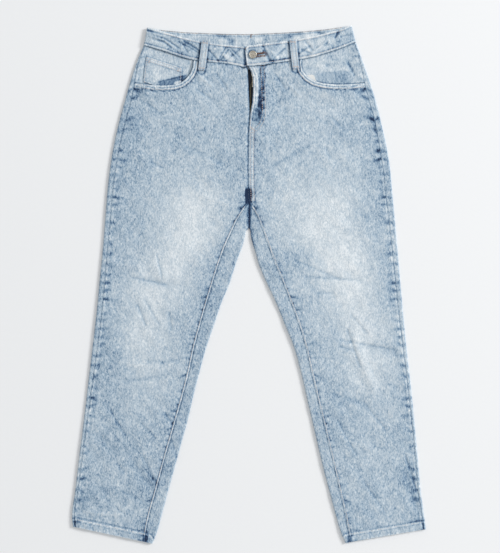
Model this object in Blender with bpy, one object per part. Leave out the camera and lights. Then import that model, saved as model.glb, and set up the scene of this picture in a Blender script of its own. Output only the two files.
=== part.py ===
"""High-rise ankle jeans, buttoned and laid flat on their back.

The ground is the plane z = 0 and the middle of the outline is the origin. The waist is at +Y, the hems
are at -Y, and the wearer's left is at +X. Lengths are in millimetres until a mesh is made.
"""

import math
from collections import Counter, namedtuple

import bpy
import numpy as np
from mathutils import Matrix

MM = 0.001

# Cloth and stacking
DENIM = 1.1
GAP = 0.3
LAYER = DENIM + GAP
SEAM = 0.15
SLANT_SEAM = 0.2
LEG_TOP = 4.6
WAIST_RISE = 1.9
WAIST_REACH = 90.0
MOUTH_RISE = 2.4
MOUTH_FLAT = 14.0
MOUTH_FADE = 32.0
SIDE_FADE = 30.0
SEAT_LIFT = LAYER
SEAT_START = 140.0
SEAT_FADE = 30.0

# Hems
HEM_HEIGHT = 16.0
HEM_EDGE = 1.2
HEM_PROUD = 0.5
HEM_WALL = 2.2

# Rows across the legs
CROTCH_OUTER_Y = 130.0
CROTCH_FOLD_Y = 106.6
JUNCTION_Y = 154.6
LOWEST_FRONT_FAN_Y = 385.7
YOKE_OUTER_Y = 415.0
YOKE_CENTRE_Y = 372.0
LEG_ROW = 0.0385
FAN_ROWS = (0.0, 0.0065, 0.0254, 0.0475, 0.076, 0.1125)
HIP_ROWS = (370, 355, 340, 316, 292, 268, 244, 220, 196, 175, 152)
SEAT_ROWS = (YOKE_OUTER_Y, 400, LOWEST_FRONT_FAN_Y) + HIP_ROWS
YOKE_ROWS = (0.0, 0.34, 0.67, 1.0)
FRONT_COLUMNS = (0.0, 0.035, 0.1, 0.2, 0.32, 0.45, 0.58, 0.7, 0.81, 0.9, 0.96, 1.0)
BOTTOM_COLUMNS = (0.06, 0.16, 0.34, 0.56, 0.78)
FOLD_ANGLES = (0.0, 45.0, 90.0, 135.0, 180.0)

# Waistband
BAND_WALL = 2.4
BAND_TOP = 7.0
OVERLAP_RISE = 2.7
OVERLAP_RAMP = (40.0, 82.0)
SLOT_HALF = 1.9
SLOT_FRACTION = 0.46
SLOT_ENDS = (5.0, 30.0)
BAND_FOLD_RIGHT = ((-195.8, 490.9), (-202.2, 456.6))
BAND_FOLD_LEFT = ((196.8, 494.8), (205.1, 462.7))

# Fly, fastenings and loops
ZIP_BACK = 2.9
ZIP_WALL = 1.0
ZIP_HALF = 13.0
SLIDER = (8.0, 10.0, 1.8)
SLIDER_PLACE = (8.5, 402.0)
TAB = (5.0, 20.0, 1.0)
FLY_MIDDLE = 6.0
FLY_FLAT = 20.0
FLY_FADE = 30.0
FLY_TOP_RIGHT = 5.7
FLY_TOP_LEFT = 6.3
SLIDER_TOP = 7.5
FLY_START = 262.0
FLY_START_FADE = 28.0
SLIDER_BUMP = 12.0
SLIDER_BUMP_FADE = 20.0
SLIDER_BUMP_START = 365.0
SLIDER_BUMP_RISE = 15.0
ZIP_X = 2.5
ZIP_LEAN_START = 372.0
ZIP_LEAN_RUN = 28.0
ZIP_ROWS = (411.0, 400.0, 390.0, 380.0, 365.0, 340.0, 315.0, 293.0)
BAND_PAST_MIDDLE = 2.5
BUTTON_PLACE = (7.3, 438.5)
BUTTON_RADIUS = 7.75
BUTTON_SIDES = 24
SHANK_RADIUS = 1.5
LOOP_WIDTH = 14.0
LOOP_WALL = 1.8
LOOP_ARCH = 1.3
LOOP_ROWS = 9
LOOP_SEAT = 0.5
LOOP_END_REACH = 4.0

# Pockets
FACING_TOP = 3.9
FACING_RISE = 0.7
FACING_FADE = 20.0
FACING_TUCK = 12.0
TUCK_START = 18.0
TUCK_FADE = 15.0
FACING_SIDE_ROWS = (443.0, 429.0, 415.0, 400.0, 389.7)
FACING_TOP_COLUMNS = 6
FACING_COLUMNS = (0.0, 0.35, 0.7, 1.0)
COIN_COLUMNS = 6

# Slow unevenness of the laid cloth
WAVE_HEIGHT = 0.35
WAVE_LENGTHS = (47.0, 90.0, 41.0, 160.0)

SideRow = namedtuple("SideRow", "y fold outseam")
InnerRow = namedtuple("InnerRow", "fold_y fold_x seam_y seam_x")
MouthRow = namedtuple("MouthRow", "x y centre_y")
FlyRow = namedtuple("FlyRow", "y right left")
BandRow = namedtuple("BandRow", "top_x top_y low_x low_y")
Crease = namedtuple("Crease", "x1 y1 x2 y2 half_width height")
Loop = namedtuple("Loop", "name top_x top_y low_x low_y")

SIDE_RIGHT = (
    SideRow(457.0, -202.2, -199.3),
    SideRow(429.0, -214.1, -210.2),
    SideRow(406.0, -222.3, -216.0),
    SideRow(385.7, -228.5, -219.5),
    SideRow(352.0, -238.1, -226.5),
    SideRow(314.0, -248.6, -236.5),
    SideRow(268.0, -259.2, -247.7),
    SideRow(222.0, -266.9, -256.1),
    SideRow(176.0, -272.1, -261.9),
    SideRow(130.0, -275.9, -265.9),
    SideRow(84.0, -279.4, -269.8),
    SideRow(14.0, -286.1, -276.5),
    SideRow(-55.0, -292.8, -282.8),
    SideRow(-124.0, -300.9, -291.3),
    SideRow(-193.0, -309.1, -301.4),
    SideRow(-262.0, -317.2, -310.7),
    SideRow(-331.0, -326.0, -320.3),
    SideRow(-400.0, -334.1, -329.1),
    SideRow(-450.0, -340.2, -335.6),
    SideRow(-467.5, -338.2, -333.3),
)
SIDE_LEFT = (
    SideRow(463.0, 205.1, 202.2),
    SideRow(429.0, 217.3, 212.6),
    SideRow(406.0, 225.4, 217.7),
    SideRow(385.7, 232.3, 221.8),
    SideRow(352.0, 242.9, 230.4),
    SideRow(314.0, 252.5, 241.0),
    SideRow(268.0, 263.0, 249.9),
    SideRow(222.0, 270.7, 257.3),
    SideRow(176.0, 274.9, 262.7),
    SideRow(130.0, 279.4, 267.8),
    SideRow(84.0, 283.6, 273.2),
    SideRow(14.0, 289.5, 280.7),
    SideRow(-55.0, 295.7, 288.0),
    SideRow(-124.0, 302.4, 296.3),
    SideRow(-193.0, 310.3, 305.0),
    SideRow(-262.0, 317.2, 312.4),
    SideRow(-331.0, 323.7, 319.3),
    SideRow(-400.0, 329.9, 325.6),
    SideRow(-450.0, 336.8, 332.5),
    SideRow(-472.3, 339.5, 335.2),
)
INNER_RIGHT = (
    InnerRow(106.6, 0.0, 154.6, 0.0),
    InnerRow(102.7, -4.6, 140.0, -11.1),
    InnerRow(91.2, -7.9, 121.5, -21.9),
    InnerRow(77.8, -11.1, 96.0, -33.8),
    InnerRow(60.5, -17.3, 70.0, -45.6),
    InnerRow(37.4, -25.7, 40.0, -56.3),
    InnerRow(14.4, -33.0, 14.0, -64.8),
    InnerRow(-8.6, -41.1, -10.0, -72.0),
    InnerRow(-31.7, -51.1, -33.0, -79.1),
    InnerRow(-77.8, -66.8, -78.0, -92.0),
    InnerRow(-123.8, -82.6, -124.0, -104.3),
    InnerRow(-169.9, -95.2, -171.0, -114.4),
    InnerRow(-216.0, -107.1, -218.0, -126.6),
    InnerRow(-262.1, -117.9, -265.0, -140.0),
    InnerRow(-308.2, -130.6, -311.0, -153.4),
    InnerRow(-354.2, -143.2, -357.0, -166.3),
    InnerRow(-400.3, -155.9, -402.0, -178.4),
    InnerRow(-446.4, -168.2, -446.0, -190.7),
    InnerRow(-481.0, -178.2, -479.0, -197.2),
    InnerRow(-499.4, -185.5, -496.5, -198.5),
)
INNER_LEFT = (
    InnerRow(106.6, 0.0, 154.6, 0.0),
    InnerRow(102.7, 4.2, 142.0, 8.0),
    InnerRow(91.2, 6.9, 125.0, 16.8),
    InnerRow(77.8, 8.8, 102.0, 26.1),
    InnerRow(60.5, 12.2, 74.0, 36.0),
    InnerRow(37.4, 18.8, 42.0, 47.8),
    InnerRow(14.4, 28.0, 16.0, 58.8),
    InnerRow(-8.6, 38.4, -9.0, 68.8),
    InnerRow(-31.7, 49.5, -33.0, 78.1),
    InnerRow(-77.8, 68.4, -79.0, 95.3),
    InnerRow(-123.8, 86.8, -125.0, 109.0),
    InnerRow(-169.9, 99.5, -171.0, 119.2),
    InnerRow(-216.0, 110.2, -217.0, 130.1),
    InnerRow(-262.1, 121.0, -264.0, 141.5),
    InnerRow(-308.2, 131.7, -310.0, 152.7),
    InnerRow(-354.2, 142.5, -356.0, 163.5),
    InnerRow(-400.3, 154.8, -402.0, 174.1),
    InnerRow(-446.4, 167.0, -447.0, 184.6),
    InnerRow(-481.0, 177.4, -479.0, 190.6),
    InnerRow(-498.8, 185.5, -496.0, 193.6),
)

# The edge of each front pocket's mouth, from the waistband to the outseam
MOUTH_RIGHT = (
    MouthRow(-106.4, 429.1, 413.0),
    MouthRow(-107.9, 415.3, 406.0),
    MouthRow(-112.9, 403.2, 399.0),
    MouthRow(-121.0, 393.0, 391.0),
    MouthRow(-130.6, 386.0, 383.0),
    MouthRow(-144.0, 381.6, 374.0),
    MouthRow(-165.1, 380.0, 365.0),
    MouthRow(-188.7, 381.3, 355.0),
    MouthRow(-206.0, 383.6, 346.5),
    MouthRow(-219.5, 385.7, 340.0),
)
MOUTH_LEFT = (
    MouthRow(102.1, 430.3, 416.4),
    MouthRow(100.4, 420.5, 407.0),
    MouthRow(103.4, 408.4, 399.0),
    MouthRow(112.5, 397.3, 391.0),
    MouthRow(126.0, 388.9, 383.0),
    MouthRow(143.6, 384.2, 374.0),
    MouthRow(166.5, 382.2, 365.0),
    MouthRow(188.0, 382.6, 355.0),
    MouthRow(207.0, 384.0, 346.5),
    MouthRow(221.8, 385.7, 340.0),
)

# Where the two fronts meet: over the zip they stand apart, and below it they are sewn together
FLY = (
    FlyRow(418.0, -5.2, -2.3),
    FlyRow(407.0, -2.5, 3.8),
    FlyRow(395.7, -1.7, 7.3),
    FlyRow(383.0, -1.2, 7.9),
    FlyRow(359.0, 0.0, 7.3),
    FlyRow(344.6, 0.6, 6.0),
    FlyRow(333.1, 1.0, 3.6),
    FlyRow(321.6, 0.6, 1.9),
    FlyRow(306.2, -0.4, 0.6),
    FlyRow(289.0, -1.3, -0.8),
    FlyRow(256.3, -1.6, -1.2),
    FlyRow(217.9, -1.9, -1.5),
    FlyRow(187.2, -1.4, -1.0),
    FlyRow(154.6, -0.2, 0.2),
)

# Edges of the waistband, each row a line across it
BAND_FRONT_RIGHT = (
    BandRow(-161.0, 481.7, -165.0, 446.8),
    BandRow(-127.0, 472.5, -127.0, 433.7),
    BandRow(-91.0, 464.3, -96.0, 426.8),
    BandRow(-60.0, 459.6, -60.0, 423.4),
    BandRow(-40.0, 457.3, -40.0, 421.4),
    BandRow(-18.0, 455.4, -18.0, 417.4),
    BandRow(-7.0, 454.6, -7.0, 413.8),
    BandRow(-3.0, 454.4, -3.0, 418.6),
    BandRow(13.0, 454.5, 13.0, 419.2),
    BandRow(34.0, 456.5, 34.0, 422.4),
)
BAND_FRONT_LEFT = (
    BandRow(-7.0, 451.8, -3.6, 418.2),
    BandRow(-5.2, 454.8, -2.0, 417.2),
    BandRow(-0.6, 456.0, 0.6, 416.9),
    BandRow(5.0, 456.6, 5.0, 416.9),
    BandRow(30.0, 459.9, 30.0, 419.4),
    BandRow(41.0, 461.2, 41.0, 421.4),
    BandRow(78.0, 465.9, 82.0, 427.4),
    BandRow(103.0, 470.6, 102.0, 430.6),
    BandRow(130.0, 475.6, 128.0, 435.8),
    BandRow(166.0, 484.8, 167.0, 448.2),
    BandRow(181.0, 489.2, 186.0, 455.3),
)
BAND_BACK = (
    BandRow(-168.0, 486.9, -170.9, 450.6),
    BandRow(-126.7, 482.9, -126.7, 446.4),
    BandRow(-85.2, 481.0, -84.5, 444.5),
    BandRow(-37.4, 479.2, -37.4, 442.8),
    BandRow(10.4, 479.2, 9.6, 442.8),
    BandRow(56.3, 481.5, 55.7, 444.5),
    BandRow(111.4, 484.8, 111.4, 448.3),
    BandRow(148.0, 488.4, 147.8, 452.2),
    BandRow(177.4, 492.7, 176.6, 457.0),
)

# Ridges and troughs of the fronts that are broad enough to change the outline of a section
CREASES = (
    Crease(0.0, 96.0, 0.0, 168.0, 9.0, -1.0),
    Crease(-272.6, 42.0, -209.3, 31.7, 8.0, 0.9),
    Crease(-200.0, 4.8, -126.7, -4.2, 8.0, -0.9),
    Crease(-180.5, 50.9, -167.4, 11.1, 8.0, 0.7),
    Crease(-223.3, -342.7, -190.0, -386.1, 8.0, -0.9),
    Crease(-284.2, -296.6, -262.0, -322.0, 8.0, -0.7),
    Crease(149.0, 15.6, 192.8, 17.5, 8.0, -0.8),
    Crease(216.4, -120.6, 278.8, -133.4, 8.0, -0.9),
    Crease(205.4, -113.1, 238.5, -203.1, 9.0, 1.1),
    Crease(302.4, -369.6, 321.6, -426.8, 7.0, -0.8),
)

# The coin pocket's lower edge is under the rim of the mouth
COIN_TOP = ((-196.6, 436.0), (-162.0, 424.8), (-128.3, 413.8))
COIN_MIDDLE = ((-200.6, 411.0), (-165.0, 402.0), (-129.0, 394.0))
COIN_LOW = ((-203.0, 387.4), (-168.0, 375.6), (-131.0, 376.4))

# The bag of the wearer's left front pocket, seen at the bend of the mouth
BAG_REACH = 8.0
BAG_TUCK = 9.0
BAG_ENDS = (0.12, 0.46)
BAG_ROWS = 7

FRONT_LOOPS = (
    Loop("belt_loop_front_right", -83.6, 464.2, -90.9, 409.1),
    Loop("belt_loop_front_left", 83.8, 466.2, 90.2, 411.8),
)
BACK_LOOPS = (
    Loop("belt_loop_back_right", -130.0, 481.0, -130.0, 428.0),
    Loop("belt_loop_back_centre", 0.0, 477.0, 0.0, 424.0),
    Loop("belt_loop_back_left", 132.0, 484.0, 132.0, 431.0),
)
BACK_POCKET = ((45.0, 350.0), (197.0, 362.0), (183.0, 215.0), (112.0, 190.0), (48.0, 208.0))

FINISHES = {
    "denim": ((0.42, 0.52, 0.62), 0.9, 0.0),
    "denim_inside": ((0.33, 0.44, 0.55), 0.9, 0.0),
    "pocket_cotton": ((0.86, 0.86, 0.84), 0.9, 0.0),
    "zip_tape": ((0.02, 0.03, 0.05), 0.8, 0.0),
    "metal": ((0.60, 0.57, 0.50), 0.35, 1.0),
}


def clear_scene():
    """Removes whatever the scene holds."""
    for item in list(bpy.data.objects):
        bpy.data.objects.remove(item)


def finish(name):
    """Returns the named finish as a material, made on first use."""
    found = bpy.data.materials.get(name)
    if found:
        return found
    colour, roughness, metallic = FINISHES[name]
    material = bpy.data.materials.new(name)
    material.use_nodes = True
    shader = material.node_tree.nodes["Principled BSDF"]
    shader.inputs["Base Color"].default_value = (*colour, 1.0)
    shader.inputs["Roughness"].default_value = roughness
    shader.inputs["Metallic"].default_value = metallic
    return material


def ease(value):
    """Smooth step from 0 to 1 as the value goes from 0 to 1."""
    held = np.clip(value, 0.0, 1.0)
    return held * held * (3.0 - 2.0 * held)


def curve(knots, values):
    """Returns a smooth function through the given points, in order of falling or rising knots."""
    order = np.argsort(knots)
    at = np.asarray(knots, float)[order]
    value = np.asarray(values, float)[order]
    slope = np.gradient(value, at)

    def read(where):
        place = np.clip(where, at[0], at[-1])
        left = np.clip(np.searchsorted(at, place) - 1, 0, len(at) - 2)
        span = at[left + 1] - at[left]
        t = (place - at[left]) / span
        rise = value[left] * (1 + 2 * t) * (1 - t) ** 2 + value[left + 1] * t * t * (3 - 2 * t)
        return rise + span * (slope[left] * t * (1 - t) ** 2 + slope[left + 1] * t * t * (t - 1))

    return read


def distance_to(line, x, y):
    """Distance of each point from a line of straight stretches."""
    best = np.full(np.shape(x), np.inf)
    for (x1, y1), (x2, y2) in zip(line, line[1:]):
        run = (x2 - x1) ** 2 + (y2 - y1) ** 2
        t = np.clip(((x - x1) * (x2 - x1) + (y - y1) * (y2 - y1)) / run, 0.0, 1.0)
        best = np.minimum(best, np.hypot(x - x1 - t * (x2 - x1), y - y1 - t * (y2 - y1)))
    return best


def along(line, fractions):
    """Points of a line at the given fractions of its length."""
    line = np.asarray(line, float)
    steps = np.concatenate([[0.0], np.cumsum(np.hypot(*np.diff(line, axis=0).T))])
    wanted = np.asarray(fractions) * steps[-1]
    return np.stack([np.interp(wanted, steps, line[:, 0]), np.interp(wanted, steps, line[:, 1])], axis=-1)


def crease_height(x, y):
    """Height that the ridges and troughs add."""
    a, b, c, d = WAVE_LENGTHS
    height = WAVE_HEIGHT * np.sin(y / a + x / b) * np.cos(x / c - y / d)
    for row in CREASES:
        away = distance_to(((row.x1, row.y1), (row.x2, row.y2)), x, y)
        height = height + row.height * np.exp(-((away / row.half_width) ** 2))
    return height


class Half:
    """One half of the garment: the wearer's right has sign -1, the left has sign 1."""

    def __init__(self, name, sign, side, inner, mouth, band):
        self.name = name
        self.sign = sign
        self.mouth_rows = mouth
        self.mouth = [(row.x, row.y) for row in mouth]
        self.top_y = side[0].y
        self.hem_outer_y = side[-1].y
        self.hem_fold_y = inner[-1].fold_y
        self.fold = curve([row.y for row in side], [row.fold for row in side])
        self.outseam = curve([row.y for row in side], [row.outseam for row in side])
        fold_y = [row.fold_y for row in inner]
        self.inner_fold = curve(fold_y, [row.fold_x for row in inner])
        self.inseam_x = curve(fold_y, [row.seam_x for row in inner])
        self.inseam_y = curve(fold_y, [row.seam_y for row in inner])
        edge = [row.right if sign < 0 else row.left for row in FLY]
        self.centre = curve([row.y for row in FLY], edge)
        fold_line = BAND_FOLD_RIGHT if sign < 0 else BAND_FOLD_LEFT
        low = [fold_line[1]]
        low += [(row.low_x, row.low_y) for row in band if row.low_x * sign > -BAND_PAST_MIDDLE]
        self.band_low = curve([point[0] for point in low], [point[1] for point in low])
        low = [BAND_FOLD_RIGHT[1]] + [(row.low_x, row.low_y) for row in BAND_BACK] + [BAND_FOLD_LEFT[1]]
        self.back_low = curve([point[0] for point in low], [point[1] for point in low])

    def top(self, x, y):
        """Height of the outer face of the front."""
        inside = ease((self.outseam(y) - x) * self.sign / SIDE_FADE)
        waist = ease(1.0 - (self.band_low(x) - y) / WAIST_REACH)
        mouth = ease(1.0 - (distance_to(self.mouth, x, y) - MOUTH_FLAT) / MOUTH_FADE)
        rise = WAIST_RISE * waist
        height = LEG_TOP + inside * (rise + (MOUTH_RISE - rise) * mouth)
        height = height + crease_height(x, y) * (1.0 - waist) * (1.0 - mouth)
        fly = ease(1.0 - (np.abs(x - FLY_MIDDLE) - FLY_FLAT) / FLY_FADE)
        fly = fly * ease((y - FLY_START) / FLY_START_FADE)
        wanted = FLY_TOP_RIGHT if self.sign < 0 else FLY_TOP_LEFT
        height = height + fly * np.maximum(0.0, wanted - height)
        if self.sign > 0:
            near = ease(1.0 - (np.abs(x - SLIDER_PLACE[0]) - SLIDER_BUMP) / SLIDER_BUMP_FADE)
            near = near * ease((y - SLIDER_BUMP_START) / SLIDER_BUMP_RISE)
            height = height + near * np.maximum(0.0, SLIDER_TOP - height)
        return height

    def facing_top(self, x, y):
        """Height of the outer face of the facing that shows in the pocket's mouth."""
        inside = ease((self.outseam(y) - x) * self.sign / FACING_FADE)
        return FACING_TOP + FACING_RISE * (1.0 - inside)

    def lift(self, x, y):
        """Height of the underside, which rests on the back pockets and the back belt loops."""
        inside = ease(((self.fold(y) - x) * self.sign - 5.0) / 25.0)
        return SEAT_LIFT * inside * ease((y - SEAT_START) / SEAT_FADE)


class Wall:
    """A cloth wall: matching outer and inner points, faces on both and a rim round every open edge."""

    def __init__(self):
        self.outer = []
        self.inner = []
        self.quads = []

    def add(self, x, y, z, normal, thickness):
        """Adds an outer point and the inner one behind it, and returns their index."""
        self.outer.append((x, y, z))
        self.inner.append((x - thickness * normal[0], y - thickness * normal[1], z - thickness * normal[2]))
        return len(self.outer) - 1

    def grid(self, rows, skip=()):
        """Joins rows of point indices with faces, apart from the cells named in skip."""
        for i, (one, two) in enumerate(zip(rows, rows[1:])):
            for j in range(min(len(one), len(two)) - 1):
                if (i, j) not in skip:
                    self.quads.append((one[j], one[j + 1], two[j + 1], two[j]))

    def build(self, name, material):
        """Makes the closed mesh and its object."""
        count = len(self.outer)
        faces = list(self.quads)
        faces += [tuple(count + k for k in reversed(quad)) for quad in self.quads]
        sides = Counter()
        for quad in self.quads:
            for a, b in zip(quad, quad[1:] + quad[:1]):
                sides[(a, b)] += 1
        for a, b in sides:
            if (b, a) not in sides:
                faces.append((b, a, count + a, count + b))
        return make_object(name, self.outer + self.inner, faces, material)


def make_object(name, points, faces, material):
    """Makes one closed object from points in millimetres."""
    mesh = bpy.data.meshes.new(name)
    mesh.from_pydata([tuple(MM * float(value) for value in point) for point in points], [], faces)
    corners = np.array([vertex.co for vertex in mesh.vertices])
    mesh.calc_loop_triangles()
    tris = np.array([triangle.vertices for triangle in mesh.loop_triangles])
    if np.linalg.det(corners[tris]).sum() < 0:
        mesh.flip_normals()
    mesh.shade_smooth()
    mesh.set_sharp_from_angle(angle=math.radians(40))
    mesh.materials.append(finish(material))
    made = bpy.data.objects.new(name, mesh)
    bpy.context.scene.collection.objects.link(made)
    return made


UP = (0.0, 0.0, 1.0)
DOWN = (0.0, 0.0, -1.0)


def leg_rows(half):
    """Rows from the crotch to the hem as (fraction, hem weight), with the hem's step at the end."""
    length = CROTCH_FOLD_Y - half.hem_fold_y
    hem = HEM_HEIGHT / length
    plain = list(FAN_ROWS)
    while plain[-1] + 1.5 * LEG_ROW < 1.0 - hem:
        plain.append(plain[-1] + LEG_ROW)
    rows = [(fraction, 0.0) for fraction in plain]
    rows.append((1.0 - hem - HEM_EDGE / length, 0.0))
    rows.append((1.0 - hem, 1.0))
    rows.append((1.0, 1.0))
    return rows


def row_heights(half, fraction):
    """Outer y and inner fold y of a row below the crotch."""
    outer = CROTCH_OUTER_Y + fraction * (half.hem_outer_y - CROTCH_OUTER_Y)
    inner = CROTCH_FOLD_Y + fraction * (half.hem_fold_y - CROTCH_FOLD_Y)
    return outer, inner


def front_ends(half):
    """Ends of the front's rows: (outer x, outer y, inner x, inner y, hem weight)."""
    ends = []
    for row in half.mouth_rows[:-1]:
        ends.append((row.x, row.y, half.centre(row.centre_y), row.centre_y, 0.0))
    fall = (half.mouth_rows[-1].centre_y - JUNCTION_Y) / (LOWEST_FRONT_FAN_Y - CROTCH_OUTER_Y)
    for outer in (LOWEST_FRONT_FAN_Y,) + HIP_ROWS:
        centre_y = JUNCTION_Y + (outer - CROTCH_OUTER_Y) * fall
        ends.append((half.outseam(outer) - half.sign * SEAM, outer, half.centre(centre_y), centre_y, 0.0))
    for fraction, hem in leg_rows(half):
        outer, inner = row_heights(half, fraction)
        x = half.inseam_x(inner) + half.sign * SLANT_SEAM
        ends.append((half.outseam(outer) - half.sign * SEAM, outer, x, half.inseam_y(inner), hem))
    return ends


def build_front(half):
    """One front: from the waistband and the pocket's mouth down to the hem."""
    wall = Wall()
    rows = []
    for i, (x1, y1, x2, y2, hem) in enumerate(front_ends(half)):
        row = []
        for t in FRONT_COLUMNS:
            x = x1 + t * (x2 - x1)
            y = y1 + t * (y2 - y1)
            if i == 0:
                y = half.band_low(x) - 2 * GAP
            z = half.top(x, y) + hem * HEM_PROUD
            row.append(wall.add(x, y, z, UP, DENIM + hem * (HEM_WALL - DENIM)))
        rows.append(row)
    wall.grid(rows)
    return wall.build("front_" + half.name, "denim")


def outer_side(wall, half, y, hem):
    """Adds the stretch from the outseam round the outer fold to the underside, and returns its indices."""
    proud = hem * HEM_PROUD
    thickness = DENIM + hem * (HEM_WALL - DENIM)
    fold = half.fold(y)
    seam = half.outseam(y) + half.sign * SEAM
    radius = 0.5 * (half.top(seam, y) + proud)
    row = [wall.add(seam, y, half.top(seam, y) + proud, UP, thickness)]
    start = 0 if abs(fold - seam) > radius + 0.5 else 1
    for angle in FOLD_ANGLES[start:]:
        turn = math.radians(angle)
        normal = (half.sign * math.sin(turn), 0.0, math.cos(turn))
        x = fold - half.sign * radius + radius * normal[0]
        row.append(wall.add(x, y, radius + radius * normal[2], normal, thickness))
    return row


def underside(wall, half, y1, end, end_y, hem, close):
    """Adds the flat stretch from the outer fold to the given inner point."""
    start = half.fold(y1) - half.sign * 0.5 * LEG_TOP
    thickness = DENIM + hem * (HEM_WALL - DENIM)
    row = []
    for t in BOTTOM_COLUMNS + ((1.0,) if close else ()):
        x = start + t * (end - start)
        y = y1 + t * (end_y - y1)
        row.append(wall.add(x, y, half.lift(x, y), DOWN, thickness))
    return row


def inner_side(wall, half, fold_y, hem, outward):
    """Adds the stretch from the underside round the inner fold to the inseam."""
    proud = hem * HEM_PROUD
    thickness = DENIM + hem * (HEM_WALL - DENIM)
    fold_x = half.inner_fold(fold_y)
    if abs(fold_x) < SEAM:
        fold_x = half.sign * SEAM
    seam_x = half.inseam_x(fold_y) - half.sign * SLANT_SEAM
    seam_x = half.sign * max(SEAM, seam_x * half.sign)
    seam_y = half.inseam_y(fold_y)
    radius = 0.5 * (half.top(fold_x, fold_y) + proud)
    row = []
    for angle in reversed(FOLD_ANGLES):
        turn = math.radians(angle)
        reach = radius * (math.sin(turn) - 1.0)
        normal = (outward[0] * math.sin(turn), outward[1] * math.sin(turn), math.cos(turn))
        x = fold_x + outward[0] * reach
        y = fold_y + outward[1] * reach
        row.append(wall.add(x, y, radius + radius * math.cos(turn), normal, thickness))
    last_x = fold_x - outward[0] * radius
    last_y = fold_y - outward[1] * radius
    for t in (0.5, 1.0):
        x = last_x + t * (seam_x - last_x)
        y = last_y + t * (seam_y - last_y)
        row.append(wall.add(x, y, half.top(x, y) + proud, UP, thickness))
    return row


def inner_outward(half, fold_y):
    """Direction square to the inner fold, in plan."""
    if fold_y > CROTCH_FOLD_Y - 1.0:
        return (0.0, -1.0)
    step = 4.0
    slope = (half.inner_fold(fold_y + step) - half.inner_fold(fold_y - step)) / (2 * step)
    length = math.hypot(1.0, slope)
    return (-half.sign / length, half.sign * slope / length)


def build_back(half):
    """One back: from the yoke to the hem, round both folds of the leg to the seams on top."""
    wall = Wall()
    rows = []
    fall = (YOKE_CENTRE_Y - CROTCH_FOLD_Y) / (YOKE_OUTER_Y - CROTCH_OUTER_Y)
    for y in SEAT_ROWS:
        centre_y = CROTCH_FOLD_Y + (y - CROTCH_OUTER_Y) * fall
        drop = 2 * SEAM if y == YOKE_OUTER_Y else 0.0
        row = outer_side(wall, half, y - drop, 0.0)
        row += underside(wall, half, y - drop, half.sign * SEAM, centre_y - drop, 0.0, True)
        rows.append(row)
    for fraction, hem in leg_rows(half):
        outer, inner = row_heights(half, fraction)
        outward = inner_outward(half, inner)
        fold_x = half.inner_fold(inner) - outward[0] * 0.5 * LEG_TOP
        row = outer_side(wall, half, outer, hem)
        row += underside(wall, half, outer, fold_x, inner - outward[1] * 0.5 * LEG_TOP, hem, False)
        row += inner_side(wall, half, inner, hem, outward)
        rows.append(row)
    wall.grid(rows)
    return wall.build("back_" + half.name, "denim")


def build_yoke(half):
    """The pointed piece between the back's top edge and the waistband."""
    wall = Wall()
    rows = []
    centre_top = half.back_low(0.0)
    for t in YOKE_ROWS:
        y = half.top_y - 2 * GAP + t * (YOKE_OUTER_Y - half.top_y + 2 * GAP)
        centre_y = centre_top + t * (YOKE_CENTRE_Y - centre_top)
        row = outer_side(wall, half, y, 0.0)
        flat = underside(wall, half, y, half.sign * SEAM, centre_y, 0.0, True)
        if t == 0.0:
            for k in flat:
                for points in (wall.outer, wall.inner):
                    x, _, z = points[k]
                    points[k] = (x, half.back_low(x) - 2 * GAP, z)
        rows.append(row + flat)
    wall.grid(rows)
    return wall.build("yoke_" + half.name, "denim")


def build_facing(half):
    """The piece that shows in the mouth of a front pocket, tucked under the front."""
    wall = Wall()
    corner = (half.outseam(half.top_y - 2 * GAP) - half.sign * SEAM, half.top_y - 2 * GAP)
    top_x = np.linspace(half.mouth[0][0], corner[0], FACING_TOP_COLUMNS)
    outer = [(x, half.band_low(x) - 2 * GAP) for x in top_x[:-1]] + [corner]
    for y in FACING_SIDE_ROWS:
        outer.append((half.outseam(y) - half.sign * SEAM, y))
    mouth = np.asarray(half.mouth)
    inner = along(mouth, np.linspace(0.0, 1.0, len(outer)))
    rows = []
    for k, (start, end) in enumerate(zip(outer, inner)):
        side = half.outseam(end[1]) * half.sign - end[0] * half.sign
        tuck = FACING_TUCK * ease((side - TUCK_START) / TUCK_FADE) - 2 * GAP
        before = inner[max(k - 1, 0)]
        after = inner[min(k + 1, len(inner) - 1)]
        run = np.asarray(after) - np.asarray(before)
        away = np.array([half.sign * run[1], -half.sign * run[0]]) / math.hypot(*run)
        if k == 0:
            away = np.array([-half.sign, 0.0])
        target = end + away * tuck
        if k == 0:
            target[1] = half.band_low(target[0]) - 2 * GAP
        row = []
        for t in FACING_COLUMNS:
            x, y = np.asarray(start) + t * (target - np.asarray(start))
            row.append(wall.add(x, y, half.facing_top(x, y), UP, DENIM))
        rows.append(row)
    wall.grid(rows)
    return wall.build("pocket_facing_" + half.name, "denim")


def build_coin_pocket(half):
    """The small patch pocket on the wearer's right facing."""
    wall = Wall()
    rows = []
    for corners in (COIN_TOP, COIN_MIDDLE, COIN_LOW):
        row = []
        for x, y in along(corners, np.linspace(0.0, 1.0, COIN_COLUMNS)):
            row.append(wall.add(x, y, half.facing_top(x, y) + LAYER, UP, DENIM))
        rows.append(row)
    wall.grid(rows)
    return wall.build("coin_pocket", "denim")


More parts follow.
